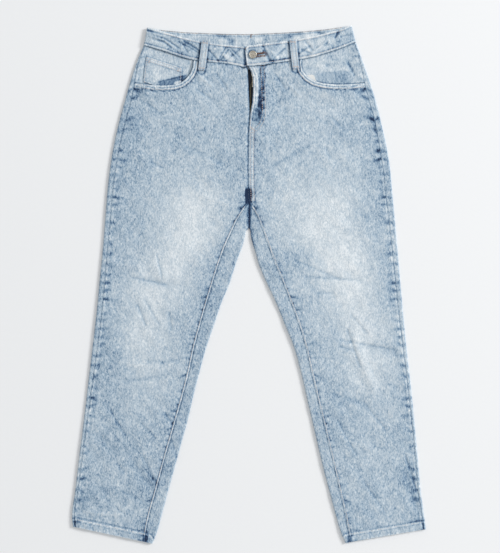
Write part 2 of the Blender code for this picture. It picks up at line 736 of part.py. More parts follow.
def build_pocket_bag(half):
    """The edge of the cotton bag at the bend of the wearer's left pocket."""
    wall = Wall()
    rows = []
    middle = along(half.mouth, np.linspace(*BAG_ENDS, BAG_ROWS))
    runs = np.gradient(middle, axis=0)
    for point, run, width in zip(middle, runs, np.sin(np.linspace(0.25, math.pi - 0.25, BAG_ROWS))):
        away = np.array([half.sign * run[1], -half.sign * run[0]]) / math.hypot(*run)
        row = []
        for reach in (-BAG_REACH * width, 0.0, BAG_TUCK):
            x, y = point + away * reach
            row.append(wall.add(x, y, half.facing_top(x, y) + LAYER, UP, DENIM))
        rows.append(row)
    wall.grid(rows)
    return wall.build("pocket_bag_" + half.name, "pocket_cotton")


def band_front_top(sign, x):
    """Height of the outer face of the waistband's front, raised where its end overlaps."""
    if sign < 0:
        return BAND_TOP
    near = (OVERLAP_RAMP[1] - x) / (OVERLAP_RAMP[1] - OVERLAP_RAMP[0])
    return BAND_TOP + OVERLAP_RISE * float(ease(near))


def band_line(wall, top, low, z, normal):
    """Adds one line across the waistband, with the two rows that bound the buttonhole."""
    height = math.hypot(top[0] - low[0], top[1] - low[1])
    row = []
    slot_half = SLOT_HALF / height
    for t in (0.0, SLOT_FRACTION - slot_half, SLOT_FRACTION + slot_half, 1.0):
        x = top[0] + t * (low[0] - top[0])
        y = top[1] + t * (low[1] - top[1])
        row.append(wall.add(x, y, z, normal, BAND_WALL))
    return row


def band_fold(wall, fold, sign, downwards):
    """Adds the lines round one side fold of the waistband."""
    radius = 0.5 * (BAND_TOP - SEAT_LIFT)
    rows = []
    for angle in FOLD_ANGLES if downwards else reversed(FOLD_ANGLES):
        turn = math.radians(angle)
        normal = (sign * math.sin(turn), 0.0, math.cos(turn))
        shift = sign * radius * (math.sin(turn) - 1.0)
        ends = [(point[0] + shift, point[1]) for point in fold]
        rows.append(band_line(wall, *ends, SEAT_LIFT + radius * (1.0 + math.cos(turn)), normal))
    return rows


def build_waistband():
    """One strip: the underlap, round the back, and on to the overlap with its buttonhole."""
    wall = Wall()
    rows = []
    for row in reversed(BAND_FRONT_RIGHT):
        rows.append(band_line(wall, row[:2], row[2:], BAND_TOP, UP))
    rows += band_fold(wall, BAND_FOLD_RIGHT, -1, True)
    for row in BAND_BACK:
        rows.append(band_line(wall, row[:2], row[2:], SEAT_LIFT, DOWN))
    rows += band_fold(wall, BAND_FOLD_LEFT, 1, False)
    slot = ()
    for row in reversed(BAND_FRONT_LEFT):
        if row.top_x == SLOT_ENDS[1]:
            slot = ((len(rows), 1),)
        rows.append(band_line(wall, row[:2], row[2:], band_front_top(1, row.top_x), UP))
    wall.grid(rows, skip=slot)
    return wall.build("waistband", "denim")


def zip_middle(y):
    """Middle of the zip, which leans under the overlapping front near the waistband."""
    return ZIP_X + (SLIDER_PLACE[0] - ZIP_X) * float(ease((y - ZIP_LEAN_START) / ZIP_LEAN_RUN))


def build_zip_tape():
    """The tape behind the fly."""
    wall = Wall()
    rows = []
    for y in ZIP_ROWS:
        middle = zip_middle(y)
        ends = (middle - ZIP_HALF, middle + ZIP_HALF)
        rows.append([wall.add(x, y, ZIP_BACK + ZIP_WALL, UP, ZIP_WALL) for x in ends])
    wall.grid(rows)
    return wall.build("zip_tape", "zip_tape")


def build_slider():
    """The zip's slider with its tab laid down, under the overlapping front."""
    wide, long, high = (0.5 * value for value in SLIDER)
    tab_half = 0.5 * TAB[0]
    x, y = SLIDER_PLACE
    floor = ZIP_BACK + ZIP_WALL + GAP
    outline = [
        (-wide, long), (wide, long), (wide, -0.3 * long), (tab_half, -long),
        (tab_half, -long - TAB[1]), (-tab_half, -long - TAB[1]), (-tab_half, -long), (-wide, -0.3 * long),
    ]
    tops = [SLIDER[2]] * 4 + [TAB[2]] * 2 + [SLIDER[2]] * 2
    points = [(x + px, y + py, floor) for px, py in outline]
    points += [(x + px, y + py, floor + top) for (px, py), top in zip(outline, tops)]
    count = len(outline)
    faces = [tuple(range(count)), (8, 15, 14, 11, 10, 9), (14, 13, 12, 11)]
    faces += [(k, k + count, (k + 1) % count + count, (k + 1) % count) for k in range(count)]
    return make_object("zip_slider", points, faces, "metal")


def build_loop(loop, half):
    """A front belt loop, arched over the waistband and sewn down at both ends."""
    wall = Wall()
    rows = []
    run = np.array([loop.low_x - loop.top_x, loop.low_y - loop.top_y])
    across = np.array([-run[1], run[0]]) / math.hypot(*run)
    for t in np.linspace(0.0, 1.0, LOOP_ROWS):
        middle = np.array([loop.top_x, loop.top_y]) + t * run
        under = BAND_TOP
        if middle[1] < half.band_low(middle[0]) + LOOP_END_REACH:
            under = max(BAND_TOP, float(half.top(*middle)))
        arch = LOOP_ARCH * math.sin(math.pi * t)
        row = []
        for reach in (-0.5, 0.5):
            x, y = middle + across * reach * LOOP_WIDTH
            row.append(wall.add(x, y, under + LOOP_SEAT + arch + LOOP_WALL, UP, LOOP_WALL))
        rows.append(row)
    wall.grid(rows)
    return wall.build(loop.name, "denim")


def build_slab(name, outline, material):
    """A flat patch on the underside, which the garment rests on."""
    wall_top = [(x, y, DENIM) for x, y in outline]
    points = wall_top + [(x, y, 0.0) for x, y in outline]
    count = len(outline)
    faces = [tuple(range(count)), tuple(reversed(range(count, 2 * count)))]
    faces += [(k, k + count, (k + 1) % count + count, (k + 1) % count) for k in range(count)]
    return make_object(name, points, faces, material)


def build_back_loop(loop):
    """A belt loop on the underside."""
    wide = 0.5 * LOOP_WIDTH
    outline = (
        (loop.top_x - wide, loop.top_y), (loop.top_x + wide, loop.top_y),
        (loop.low_x + wide, loop.low_y), (loop.low_x - wide, loop.low_y),
    )
    return build_slab(loop.name, outline, "denim")


def build_button():
    """The shank button: a turned shape whose shank goes through the buttonhole to the underlap."""
    seat = BAND_TOP + OVERLAP_RISE
    profile = (
        (SHANK_RADIUS, BAND_TOP + GAP),
        (SHANK_RADIUS, seat + GAP),
        (BUTTON_RADIUS - 0.4, seat + GAP),
        (BUTTON_RADIUS, seat + GAP + 0.6),
        (BUTTON_RADIUS - 0.3, seat + GAP + 1.7),
        (BUTTON_RADIUS - 1.6, seat + GAP + 2.2),
        (BUTTON_RADIUS - 2.6, seat + GAP + 1.5),
        (1.6, seat + GAP + 1.7),
    )
    points = []
    middle_x, middle_y = BUTTON_PLACE
    for radius, z in profile:
        for k in range(BUTTON_SIDES):
            turn = 2 * math.pi * k / BUTTON_SIDES
            points.append((middle_x + radius * math.cos(turn), middle_y + radius * math.sin(turn), z))
    last = len(profile) - 1
    faces = [tuple(reversed(range(BUTTON_SIDES)))]
    faces.append(tuple(range(last * BUTTON_SIDES, (last + 1) * BUTTON_SIDES)))
    for ring in range(last):
        for k in range(BUTTON_SIDES):
            a = ring * BUTTON_SIDES + k
            b = ring * BUTTON_SIDES + (k + 1) % BUTTON_SIDES
            faces.append((a, b, b + BUTTON_SIDES, a + BUTTON_SIDES))
    return make_object("button", points, faces, "metal")


def centre_outline():
    """Moves every piece so that the middle of the whole outline is the origin."""
    meshes = [item.data for item in bpy.context.scene.collection.objects]
    places = np.array([vertex.co for mesh in meshes for vertex in mesh.vertices])
    middle = 0.5 * (places.min(axis=0) + places.max(axis=0))
    for mesh in meshes:
        mesh.transform(Matrix.Translation((-middle[0], -middle[1], 0.0)))


def main():
    """Builds every piece of the jeans."""
    clear_scene()
    right = Half("right", -1, SIDE_RIGHT, INNER_RIGHT, MOUTH_RIGHT, BAND_FRONT_RIGHT)
    left = Half("left", 1, SIDE_LEFT, INNER_LEFT, MOUTH_LEFT, BAND_FRONT_LEFT)
    for half in (right, left):
        build_front(half)
        build_back(half)
        build_yoke(half)
        build_facing(half)
        outline = [(half.sign * x, y) for x, y in BACK_POCKET]
        build_slab("back_pocket_" + half.name, outline, "denim")
    build_coin_pocket(right)
    build_pocket_bag(left)
    build_waistband()
    build_zip_tape()
    build_slider()
    build_button()
    for loop, half in zip(FRONT_LOOPS, (right, left)):
        build_loop(loop, half)
    for loop in BACK_LOOPS:
        build_back_loop(loop)
    centre_outline()


main()
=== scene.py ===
"""Looks of high-rise ankle jeans that lie flat on their back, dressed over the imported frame.

Shapes are worked out in millimetres on the table that the jeans lie on, with the waist at +Y, the hems at
-Y and the wearer's left at +X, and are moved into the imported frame, in metres, when a mesh is made.
"""

import logging
import math
from dataclasses import dataclass, field
from enum import Enum
from typing import Callable, NamedTuple, Sequence, Union

import bpy
import numpy as np
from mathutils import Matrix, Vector


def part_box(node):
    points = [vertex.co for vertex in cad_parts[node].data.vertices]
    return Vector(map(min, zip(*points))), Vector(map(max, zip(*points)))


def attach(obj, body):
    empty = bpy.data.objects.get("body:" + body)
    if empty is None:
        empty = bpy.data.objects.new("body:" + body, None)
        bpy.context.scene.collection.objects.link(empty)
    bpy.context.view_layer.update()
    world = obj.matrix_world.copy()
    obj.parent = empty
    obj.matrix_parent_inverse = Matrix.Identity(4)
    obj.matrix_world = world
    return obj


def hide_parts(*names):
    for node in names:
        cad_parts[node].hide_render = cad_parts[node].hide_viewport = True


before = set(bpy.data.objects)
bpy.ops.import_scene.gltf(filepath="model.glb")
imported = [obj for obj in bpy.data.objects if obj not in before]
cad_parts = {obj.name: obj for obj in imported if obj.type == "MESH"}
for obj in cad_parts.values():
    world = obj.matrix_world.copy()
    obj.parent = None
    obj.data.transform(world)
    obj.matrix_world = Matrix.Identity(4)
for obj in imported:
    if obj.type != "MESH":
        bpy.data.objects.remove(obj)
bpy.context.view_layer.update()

log = logging.getLogger("jeans")

Array = np.ndarray
Point = tuple[float, float]
Colour = tuple[float, float, float]
Height = Callable[[Array, Array], Array]

MM = 0.001

# Cloth and stacking, as in the solids
DENIM = 1.1
GAP = 0.3
LAYER = DENIM + GAP
SEAM = 0.15
SLANT_SEAM = 0.2
LEG_TOP = 4.6
LOWEST_MOUTH_Y = 385.7
CROTCH_OUTER_Y = 130.0
CROTCH_FOLD_Y = 106.6
JUNCTION_Y = 154.6
YOKE_OUTER_Y = 415.0
YOKE_CENTRE_Y = 372.0
BUTTON_PLACE = (7.3, 438.5)


class SideRow(NamedTuple):
    """Outer fold and outseam of a leg at one height."""

    y: float
    fold: float
    outseam: float


class InnerRow(NamedTuple):
    """Inner fold and inseam of a leg on one row."""

    fold_y: float
    fold_x: float
    seam_y: float
    seam_x: float


class MouthRow(NamedTuple):
    """A point of a pocket's mouth, with the height at which its row meets the centre front."""

    x: float
    y: float
    centre_y: float


class FlyRow(NamedTuple):
    """Edges of the two fronts at one height."""

    y: float
    right: float
    left: float


class BandRow(NamedTuple):
    """A line across the waistband."""

    top_x: float
    top_y: float
    low_x: float
    low_y: float


class Crease(NamedTuple):
    """A straight ridge, or a trough where its height is less than nothing."""

    x1: float
    y1: float
    x2: float
    y2: float
    half_width: float
    height: float


class LoopEnds(NamedTuple):
    """Ends of a belt loop's middle line."""

    name: str
    top_x: float
    top_y: float
    low_x: float
    low_y: float


SIDE_RIGHT = (
    SideRow(457.0, -202.2, -199.3),
    SideRow(429.0, -214.1, -210.2),
    SideRow(406.0, -222.3, -216.0),
    SideRow(385.7, -228.5, -219.5),
    SideRow(352.0, -238.1, -226.5),
    SideRow(314.0, -248.6, -236.5),
    SideRow(268.0, -259.2, -247.7),
    SideRow(222.0, -266.9, -256.1),
    SideRow(176.0, -272.1, -261.9),
    SideRow(130.0, -275.9, -265.9),
    SideRow(84.0, -279.4, -269.8),
    SideRow(14.0, -286.1, -276.5),
    SideRow(-55.0, -292.8, -282.8),
    SideRow(-124.0, -300.9, -291.3),
    SideRow(-193.0, -309.1, -301.4),
    SideRow(-262.0, -317.2, -310.7),
    SideRow(-331.0, -326.0, -320.3),
    SideRow(-400.0, -334.1, -329.1),
    SideRow(-450.0, -340.2, -335.6),
    SideRow(-467.5, -338.2, -333.3),
)
SIDE_LEFT = (
    SideRow(463.0, 205.1, 202.2),
    SideRow(429.0, 217.3, 212.6),
    SideRow(406.0, 225.4, 217.7),
    SideRow(385.7, 232.3, 221.8),
    SideRow(352.0, 242.9, 230.4),
    SideRow(314.0, 252.5, 241.0),
    SideRow(268.0, 263.0, 249.9),
    SideRow(222.0, 270.7, 257.3),
    SideRow(176.0, 274.9, 262.7),
    SideRow(130.0, 279.4, 267.8),
    SideRow(84.0, 283.6, 273.2),
    SideRow(14.0, 289.5, 280.7),
    SideRow(-55.0, 295.7, 288.0),
    SideRow(-124.0, 302.4, 296.3),
    SideRow(-193.0, 310.3, 305.0),
    SideRow(-262.0, 317.2, 312.4),
    SideRow(-331.0, 323.7, 319.3),
    SideRow(-400.0, 329.9, 325.6),
    SideRow(-450.0, 336.8, 332.5),
    SideRow(-472.3, 339.5, 335.2),
)
INNER_RIGHT = (
    InnerRow(106.6, 0.0, 154.6, 0.0),
    InnerRow(102.7, -4.6, 140.0, -11.1),
    InnerRow(91.2, -7.9, 121.5, -21.9),
    InnerRow(77.8, -11.1, 96.0, -33.8),
    InnerRow(60.5, -17.3, 70.0, -45.6),
    InnerRow(37.4, -25.7, 40.0, -56.3),
    InnerRow(14.4, -33.0, 14.0, -64.8),
    InnerRow(-8.6, -41.1, -10.0, -72.0),
    InnerRow(-31.7, -51.1, -33.0, -79.1),
    InnerRow(-77.8, -66.8, -78.0, -92.0),
    InnerRow(-123.8, -82.6, -124.0, -104.3),
    InnerRow(-169.9, -95.2, -171.0, -114.4),
    InnerRow(-216.0, -107.1, -218.0, -126.6),
    InnerRow(-262.1, -117.9, -265.0, -140.0),
    InnerRow(-308.2, -130.6, -311.0, -153.4),
    InnerRow(-354.2, -143.2, -357.0, -166.3),
    InnerRow(-400.3, -155.9, -402.0, -178.4),
    InnerRow(-446.4, -168.2, -446.0, -190.7),
    InnerRow(-481.0, -178.2, -479.0, -197.2),
    InnerRow(-499.4, -185.5, -496.5, -198.5),
)
INNER_LEFT = (
    InnerRow(106.6, 0.0, 154.6, 0.0),
    InnerRow(102.7, 2.0, 142.0, 8.0),
    InnerRow(91.2, 3.4, 125.0, 16.8),
    InnerRow(77.8, 6.8, 102.0, 26.1),
    InnerRow(60.5, 12.2, 74.0, 36.0),
    InnerRow(37.4, 18.8, 42.0, 47.8),
    InnerRow(14.4, 28.0, 16.0, 58.8),
    InnerRow(-8.6, 38.4, -9.0, 68.8),
    InnerRow(-31.7, 49.5, -33.0, 78.1),
    InnerRow(-77.8, 68.4, -79.0, 95.3),
    InnerRow(-123.8, 86.8, -125.0, 109.0),
    InnerRow(-169.9, 99.5, -171.0, 119.2),
    InnerRow(-216.0, 110.2, -217.0, 130.1),
    InnerRow(-262.1, 121.0, -264.0, 141.5),
    InnerRow(-308.2, 131.7, -310.0, 152.7),
    InnerRow(-354.2, 142.5, -356.0, 163.5),
    InnerRow(-400.3, 154.8, -402.0, 174.1),
    InnerRow(-446.4, 167.0, -447.0, 184.6),
    InnerRow(-481.0, 177.4, -479.0, 190.6),
    InnerRow(-498.8, 185.5, -496.0, 193.6),
)

# The edge of each front pocket's mouth, from the waistband to the outseam
MOUTH_RIGHT = (
    MouthRow(-106.4, 429.1, 413.0),
    MouthRow(-107.9, 415.3, 406.0),
    MouthRow(-112.9, 403.2, 399.0),
    MouthRow(-121.0, 393.0, 391.0),
    MouthRow(-130.6, 386.0, 383.0),
    MouthRow(-144.0, 381.6, 374.0),
    MouthRow(-165.1, 380.0, 365.0),
    MouthRow(-188.7, 381.3, 355.0),
    MouthRow(-206.0, 383.6, 346.5),
    MouthRow(-219.5, 385.7, 340.0),
)
MOUTH_LEFT = (
    MouthRow(102.1, 430.3, 416.4),
    MouthRow(100.4, 420.5, 407.0),
    MouthRow(103.4, 408.4, 399.0),
    MouthRow(112.5, 397.3, 391.0),
    MouthRow(126.0, 388.9, 383.0),
    MouthRow(143.6, 384.2, 374.0),
    MouthRow(166.5, 382.2, 365.0),
    MouthRow(188.0, 382.6, 355.0),
    MouthRow(207.0, 384.0, 346.5),
    MouthRow(221.8, 385.7, 340.0),
)

# Where the two fronts meet: over the zip they stand apart, and below it they are sewn together
FLY = (
    FlyRow(418.0, -5.2, -2.3),
    FlyRow(407.0, -2.5, 3.8),
    FlyRow(395.7, -1.7, 7.3),
    FlyRow(383.0, -1.2, 7.9),
    FlyRow(359.0, 0.0, 7.3),
    FlyRow(344.6, 0.6, 6.0),
    FlyRow(333.1, 1.0, 3.6),
    FlyRow(321.6, 0.6, 1.9),
    FlyRow(306.2, -0.4, 0.6),
    FlyRow(289.0, -1.3, -0.8),
    FlyRow(256.3, -1.6, -1.2),
    FlyRow(217.9, -1.9, -1.5),
    FlyRow(187.2, -1.4, -1.0),
    FlyRow(154.6, -0.2, 0.2),
)

# Edges of the waistband, each row a line across it
BAND_FRONT_RIGHT = (
    BandRow(-161.0, 481.7, -165.0, 446.8),
    BandRow(-127.0, 472.5, -127.0, 433.7),
    BandRow(-91.0, 464.3, -96.0, 426.8),
    BandRow(-60.0, 459.6, -60.0, 423.4),
    BandRow(-40.0, 457.3, -40.0, 421.4),
    BandRow(-18.0, 455.4, -18.0, 417.4),
    BandRow(-7.0, 454.6, -7.0, 413.8),
    BandRow(-3.0, 454.4, -3.0, 418.6),
    BandRow(13.0, 454.5, 13.0, 419.2),
    BandRow(34.0, 456.5, 34.0, 422.4),
)
BAND_FRONT_LEFT = (
    BandRow(-7.0, 451.8, -3.6, 418.2),
    BandRow(-5.2, 454.8, -2.0, 417.2),
    BandRow(-0.6, 456.0, 0.6, 416.9),
    BandRow(5.0, 456.6, 5.0, 416.9),
    BandRow(30.0, 459.9, 30.0, 419.4),
    BandRow(41.0, 461.2, 41.0, 421.4),
    BandRow(78.0, 465.9, 82.0, 427.4),
    BandRow(103.0, 470.6, 102.0, 430.6),
    BandRow(130.0, 475.6, 128.0, 435.8),
    BandRow(166.0, 484.8, 167.0, 448.2),
    BandRow(181.0, 489.2, 186.0, 455.3),
)
BAND_BACK = (
    BandRow(-168.0, 486.9, -170.9, 450.6),
    BandRow(-126.7, 482.9, -126.7, 446.4),
    BandRow(-85.2, 481.0, -84.5, 444.5),
    BandRow(-37.4, 479.2, -37.4, 442.8),
    BandRow(10.4, 479.2, 9.6, 442.8),
    BandRow(56.3, 481.5, 55.7, 444.5),
    BandRow(111.4, 484.8, 111.4, 448.3),
    BandRow(148.0, 488.4, 147.8, 452.2),
    BandRow(177.4, 492.7, 176.6, 457.0),
)
# Ridges and troughs of the fronts that are broad enough to change the outline of a section
CREASES = (
    Crease(0.0, 96.0, 0.0, 168.0, 9.0, -1.0),
    Crease(-272.6, 42.0, -209.3, 31.7, 8.0, 0.9),
    Crease(-200.0, 4.8, -126.7, -4.2, 8.0, -0.9),
    Crease(-180.5, 50.9, -167.4, 11.1, 8.0, 0.7),
    Crease(-223.3, -342.7, -190.0, -386.1, 8.0, -0.9),
    Crease(-284.2, -296.6, -262.0, -322.0, 8.0, -0.7),
    Crease(149.0, 15.6, 192.8, 17.5, 8.0, -0.8),
    Crease(216.4, -120.6, 278.8, -133.4, 8.0, -0.9),
    Crease(205.4, -113.1, 238.5, -203.1, 9.0, 1.1),
    Crease(302.4, -369.6, 321.6, -426.8, 7.0, -0.8),
)

# Top and low ends of the waistband's side folds
BAND_FOLD_RIGHT = ((-195.8, 490.9), (-202.2, 456.6))
BAND_FOLD_LEFT = ((196.8, 494.8), (205.1, 462.7))

# The coin pocket's lower edge is under the rim of the mouth
COIN_TOP = ((-196.6, 436.0), (-162.0, 424.8), (-128.3, 413.8))
COIN_MIDDLE = ((-200.6, 411.0), (-165.0, 402.0), (-129.0, 394.0))
COIN_LOW = ((-203.0, 387.4), (-168.0, 375.6), (-131.0, 376.4))

FRONT_LOOPS = (
    LoopEnds("belt_loop_front_right", -83.6, 464.2, -90.9, 409.1),
    LoopEnds("belt_loop_front_left", 83.8, 466.2, 90.2, 411.8),
)
BACK_LOOPS = (
    LoopEnds("belt_loop_back_right", -130.0, 481.0, -130.0, 428.0),
    LoopEnds("belt_loop_back_centre", 0.0, 477.0, 0.0, 424.0),
    LoopEnds("belt_loop_back_left", 132.0, 484.0, 132.0, 431.0),
)
BACK_POCKET = ((45.0, 350.0), (197.0, 362.0), (183.0, 215.0), (112.0, 190.0), (48.0, 208.0))


FINE_CREASES = (
    Crease(-213.7, -42.0, -198.3, -79.7, 2.1, -0.7),
    Crease(-153.6, -56.0, -149.0, -88.0, 2.8, -0.6),
    Crease(-196.0, -148.0, -165.0, -152.0, 2.1, -0.5),
    Crease(-165.0, -152.0, -135.0, -147.0, 2.1, -0.5),
    Crease(132.5, -17.9, 161.3, -18.8, 2.2, -0.6),
    Crease(172.2, -120.6, 201.6, -128.8, 2.2, -0.7),
    Crease(234.6, -150.0, 256.7, -153.6, 2.2, 0.6),
    Crease(-206.6, -269.0, -178.7, -297.0, 2.1, -0.5),
    Crease(-161.3, -248.0, -147.3, -271.0, 2.1, -0.7),
    Crease(-253.8, -345.8, -238.0, -363.0, 2.1, -0.5),
    Crease(-199.7, -356.0, -177.0, -384.0, 2.1, -0.7),
    Crease(-254.8, -430.8, -239.4, -442.6, 2.1, -0.5),
    Crease(-315.0, -437.0, -280.0, -443.0, 2.4, 0.7),
    Crease(-280.0, -443.0, -245.0, -443.6, 2.4, 0.6),
    Crease(-98.0, 400.0, -70.0, 378.0, 2.8, 0.6),
    Crease(-98.0, 372.0, -70.0, 352.0, 2.8, -0.5),
    Crease(-62.0, 402.0, -44.0, 376.0, 2.8, -0.5),
    Crease(52.0, 398.0, 70.0, 372.0, 2.8, -0.5),
    Crease(74.0, 384.0, 98.0, 360.0, 2.8, 0.5),
    Crease(-196.0, 346.0, -170.0, 326.0, 2.8, -0.6),
    Crease(-190.0, 318.0, -120.0, 300.0, 4.2, 0.4),
    Crease(160.0, 318.0, 178.0, 300.0, 2.8, -0.6),
    Crease(112.0, 352.0, 138.0, 330.0, 3.5, 0.5),
    Crease(146.0, 262.0, 158.0, 240.0, 2.4, -0.5),
    Crease(-186.0, 232.0, -164.0, 222.0, 2.1, -0.6),
    Crease(-120.0, 262.0, -52.0, 232.0, 4.2, -0.4),
    Crease(44.0, 226.0, 112.0, 262.0, 4.2, -0.4),
    Crease(-88.0, 168.0, -28.0, 148.0, 3.5, 0.5),
    Crease(24.0, 146.0, 84.0, 170.0, 3.5, 0.5),
    Crease(-246.0, -150.0, -180.0, -162.0, 4.2, 0.4),
    Crease(-240.0, -188.0, -160.0, -178.0, 4.2, -0.4),
    Crease(150.0, -210.0, 226.0, -232.0, 4.2, -0.4),
    Crease(182.0, -300.0, 240.0, -320.0, 4.2, 0.4),
    Crease(-175.7, 50.0, -166.0, 8.0, 2.0, -0.8),
    Crease(-223.7, 11.5, -156.5, -2.9, 2.0, -0.7),
    Crease(-199.7, -31.7, -172.0, -79.7, 2.0, -0.5),
    Crease(-266.9, -243.0, -238.0, -291.0, 2.2, -0.6),
    Crease(-205.0, -330.0, -182.0, -378.0, 2.2, -0.6),
    Crease(-150.0, -300.0, -128.0, -352.0, 2.2, -0.5),
    Crease(-240.0, -400.0, -205.0, -418.0, 2.2, -0.5),
    Crease(88.0, 45.0, 174.7, 8.0, 2.2, -0.5),
    Crease(107.5, 13.0, 213.0, 6.7, 2.0, -0.6),
    Crease(189.0, -89.0, 213.0, -160.0, 2.2, -0.7),
    Crease(174.7, -108.5, 280.0, -127.7, 2.0, -0.6),
    Crease(196.0, -60.0, 226.0, -96.0, 2.0, -0.5),
    Crease(299.5, -329.0, 326.0, -412.0, 2.0, -0.6),
    Crease(228.0, -238.0, 262.0, -280.0, 2.2, -0.5),
    Crease(170.0, -262.0, 206.0, -330.0, 2.2, -0.5),
    Crease(220.0, -380.0, 262.0, -440.0, 2.2, -0.5),
)
BAND_CREASES = (
    Crease(-77.0, 448.0, -59.5, 427.0, 1.7, -0.8),
    Crease(-59.5, 427.0, -44.0, 454.0, 1.5, -0.8),
    Crease(-66.0, 450.0, -52.0, 452.0, 1.8, 0.6),
    Crease(-44.0, 427.0, -19.0, 448.0, 1.7, -0.8),
    Crease(-38.0, 454.0, -17.0, 433.0, 1.5, -0.7),
    Crease(-50.0, 438.0, -40.0, 431.0, 1.7, 0.6),
    Crease(-30.0, 442.0, -24.0, 430.0, 1.7, 0.5),
    Crease(26.0, 457.0, 36.0, 436.0, 2.1, -0.8),
    Crease(34.0, 431.0, 48.0, 424.0, 1.8, -0.6),
    Crease(50.0, 434.0, 69.0, 451.0, 1.7, -0.7),
    Crease(44.0, 444.0, 56.0, 430.0, 1.8, 0.6),
    Crease(101.0, 449.0, 117.0, 441.0, 1.8, -0.7),
    Crease(122.0, 442.0, 149.0, 465.0, 2.1, 0.7),
    Crease(165.0, 473.0, 174.0, 482.0, 1.8, -0.8),
    Crease(150.0, 474.0, 158.0, 450.0, 2.1, 0.4),
    Crease(-165.0, 472.0, -135.0, 452.0, 1.8, -0.8),
    Crease(-135.0, 464.0, -95.0, 442.0, 1.7, -0.7),
    Crease(-158.0, 464.0, -140.0, 446.0, 2.1, 0.6),
    Crease(-185.0, 478.0, -172.0, 462.0, 2.1, -0.5),
    Crease(-196.4, 486.7, -164.5, 464.3, 1.8, -1.0),
    Crease(-164.5, 464.3, -135.7, 443.5, 1.8, -1.0),
    Crease(-122.9, 464.3, -92.5, 445.0, 2.0, -1.0),
    Crease(-126.0, 458.0, -118.0, 443.5, 1.6, -0.8),
    Crease(-54.0, 429.0, -39.7, 448.3, 1.6, -0.9),
    Crease(-37.0, 447.0, -24.0, 430.0, 1.6, -0.8),
    Crease(-48.0, 440.0, -34.0, 432.0, 2.4, 0.8),
    Crease(27.0, 446.0, 44.0, 424.0, 2.2, -1.1),
    Crease(40.0, 425.0, 75.0, 432.0, 2.0, -0.8),
    Crease(90.0, 437.0, 117.0, 456.0, 1.8, -0.8),
    Crease(109.0, 463.0, 121.0, 448.0, 1.8, -0.8),
    Crease(166.0, 472.0, 172.0, 487.0, 1.8, -1.0),
    Crease(176.0, 473.0, 197.0, 479.0, 1.8, -0.7),
    Crease(128.0, 452.0, 150.0, 462.0, 1.8, -0.6),
)
BACK_BAND_CREASES = (
    Crease(-126.7, 467.5, -94.0, 448.3, 3.0, -1.0),
    Crease(-180.5, 482.9, -136.3, 452.2, 3.0, -0.9),
    Crease(-60.0, 478.0, -30.0, 466.0, 4.0, -0.6),
    Crease(64.0, 470.0, 100.0, 482.0, 4.0, -0.6),
    Crease(130.0, 484.0, 156.0, 470.0, 4.0, -0.8),
)
FACING_CREASES = (
    Crease(190.0, 424.0, 202.0, 401.0, 3.2, -0.8),
    Crease(120.0, 424.0, 176.0, 404.0, 6.0, 0.4),
    Crease(108.0, 412.0, 150.0, 418.0, 5.0, -0.4),
    Crease(150.0, 418.0, 172.0, 408.0, 5.0, -0.4),
)


def ease(value: Array) -> Array:
    """Smooth step from 0 to 1 as the value goes from 0 to 1."""
    held = np.clip(value, 0.0, 1.0)
    return held * held * (3.0 - 2.0 * held)


def bell(away: Array, width: float) -> Array:
    """A soft peak of 1 where away is nothing."""
    return np.exp(-((away / width) ** 2))


def spread(number: Array) -> Array:
    """A number from 0 to 1 that looks random, the same each time for the same input."""
    wave = np.sin(number * 12.9898 + 4.1) * 43758.5453
    return wave - np.floor(wave)


def curve(knots: Sequence[float], values: Sequence[float]) -> Callable[[Array], Array]:
    """A smooth function through the given points.

    Args:
        knots: Where the points stand, rising or falling.
        values: The value at each knot.

    Returns:
        A function that holds its end values outside the knots.
    """
    order = np.argsort(knots)
    at = np.asarray(knots, float)[order]
    value = np.asarray(values, float)[order]
    slope = np.gradient(value, at)

    def read(where: Array) -> Array:
        """The value at each place."""
        place = np.clip(where, at[0], at[-1])
        left = np.clip(np.searchsorted(at, place) - 1, 0, len(at) - 2)
        span = at[left + 1] - at[left]
        t = (place - at[left]) / span
        rise = value[left] * (1 + 2 * t) * (1 - t) ** 2 + value[left + 1] * t * t * (3 - 2 * t)
        return rise + span * (slope[left] * t * (1 - t) ** 2 + slope[left + 1] * t * t * (t - 1))

    return read


def distance_to(line: Sequence[Point], x: Array, y: Array) -> Array:
    """Distance of each point from a line of straight stretches.

    Args:
        line: Corners of the line.
        x: Across the table.
        y: Along the table.

    Returns:
        The shortest distance of each point.
    """
    best = np.full(np.broadcast(x, y).shape, np.inf)
    for (x1, y1), (x2, y2) in zip(line, line[1:]):
        run = (x2 - x1) ** 2 + (y2 - y1) ** 2
        t = np.clip(((x - x1) * (x2 - x1) + (y - y1) * (y2 - y1)) / run, 0.0, 1.0)
        best = np.minimum(best, np.hypot(x - x1 - t * (x2 - x1), y - y1 - t * (y2 - y1)))
    return best


def along(line: Sequence[Point], fractions: Array) -> Array:
    """Points of a line at the given fractions of its length."""
    corners = np.asarray(line, float)
    steps = np.concatenate([[0.0], np.cumsum(np.hypot(*np.diff(corners, axis=0).T))])
    wanted = np.asarray(fractions) * steps[-1]
    return np.stack([np.interp(wanted, steps, corners[:, 0]), np.interp(wanted, steps, corners[:, 1])], axis=-1)


def evenly(line: Sequence[Point], step: float) -> Array:
    """Points of a line about a step apart."""
    corners = np.asarray(line, float)
    length = float(np.hypot(*np.diff(corners, axis=0).T).sum())
    return along(line, np.linspace(0.0, 1.0, max(2, round(length / step) + 1)))


def beside(line: Array, reach: float) -> Array:
    """The line moved sideways, to its left where reach is more than nothing."""
    run = np.gradient(line, axis=0)
    length = np.hypot(run[:, 0], run[:, 1])
    return line + reach * np.stack([-run[:, 1], run[:, 0]], axis=-1) / length[:, None]


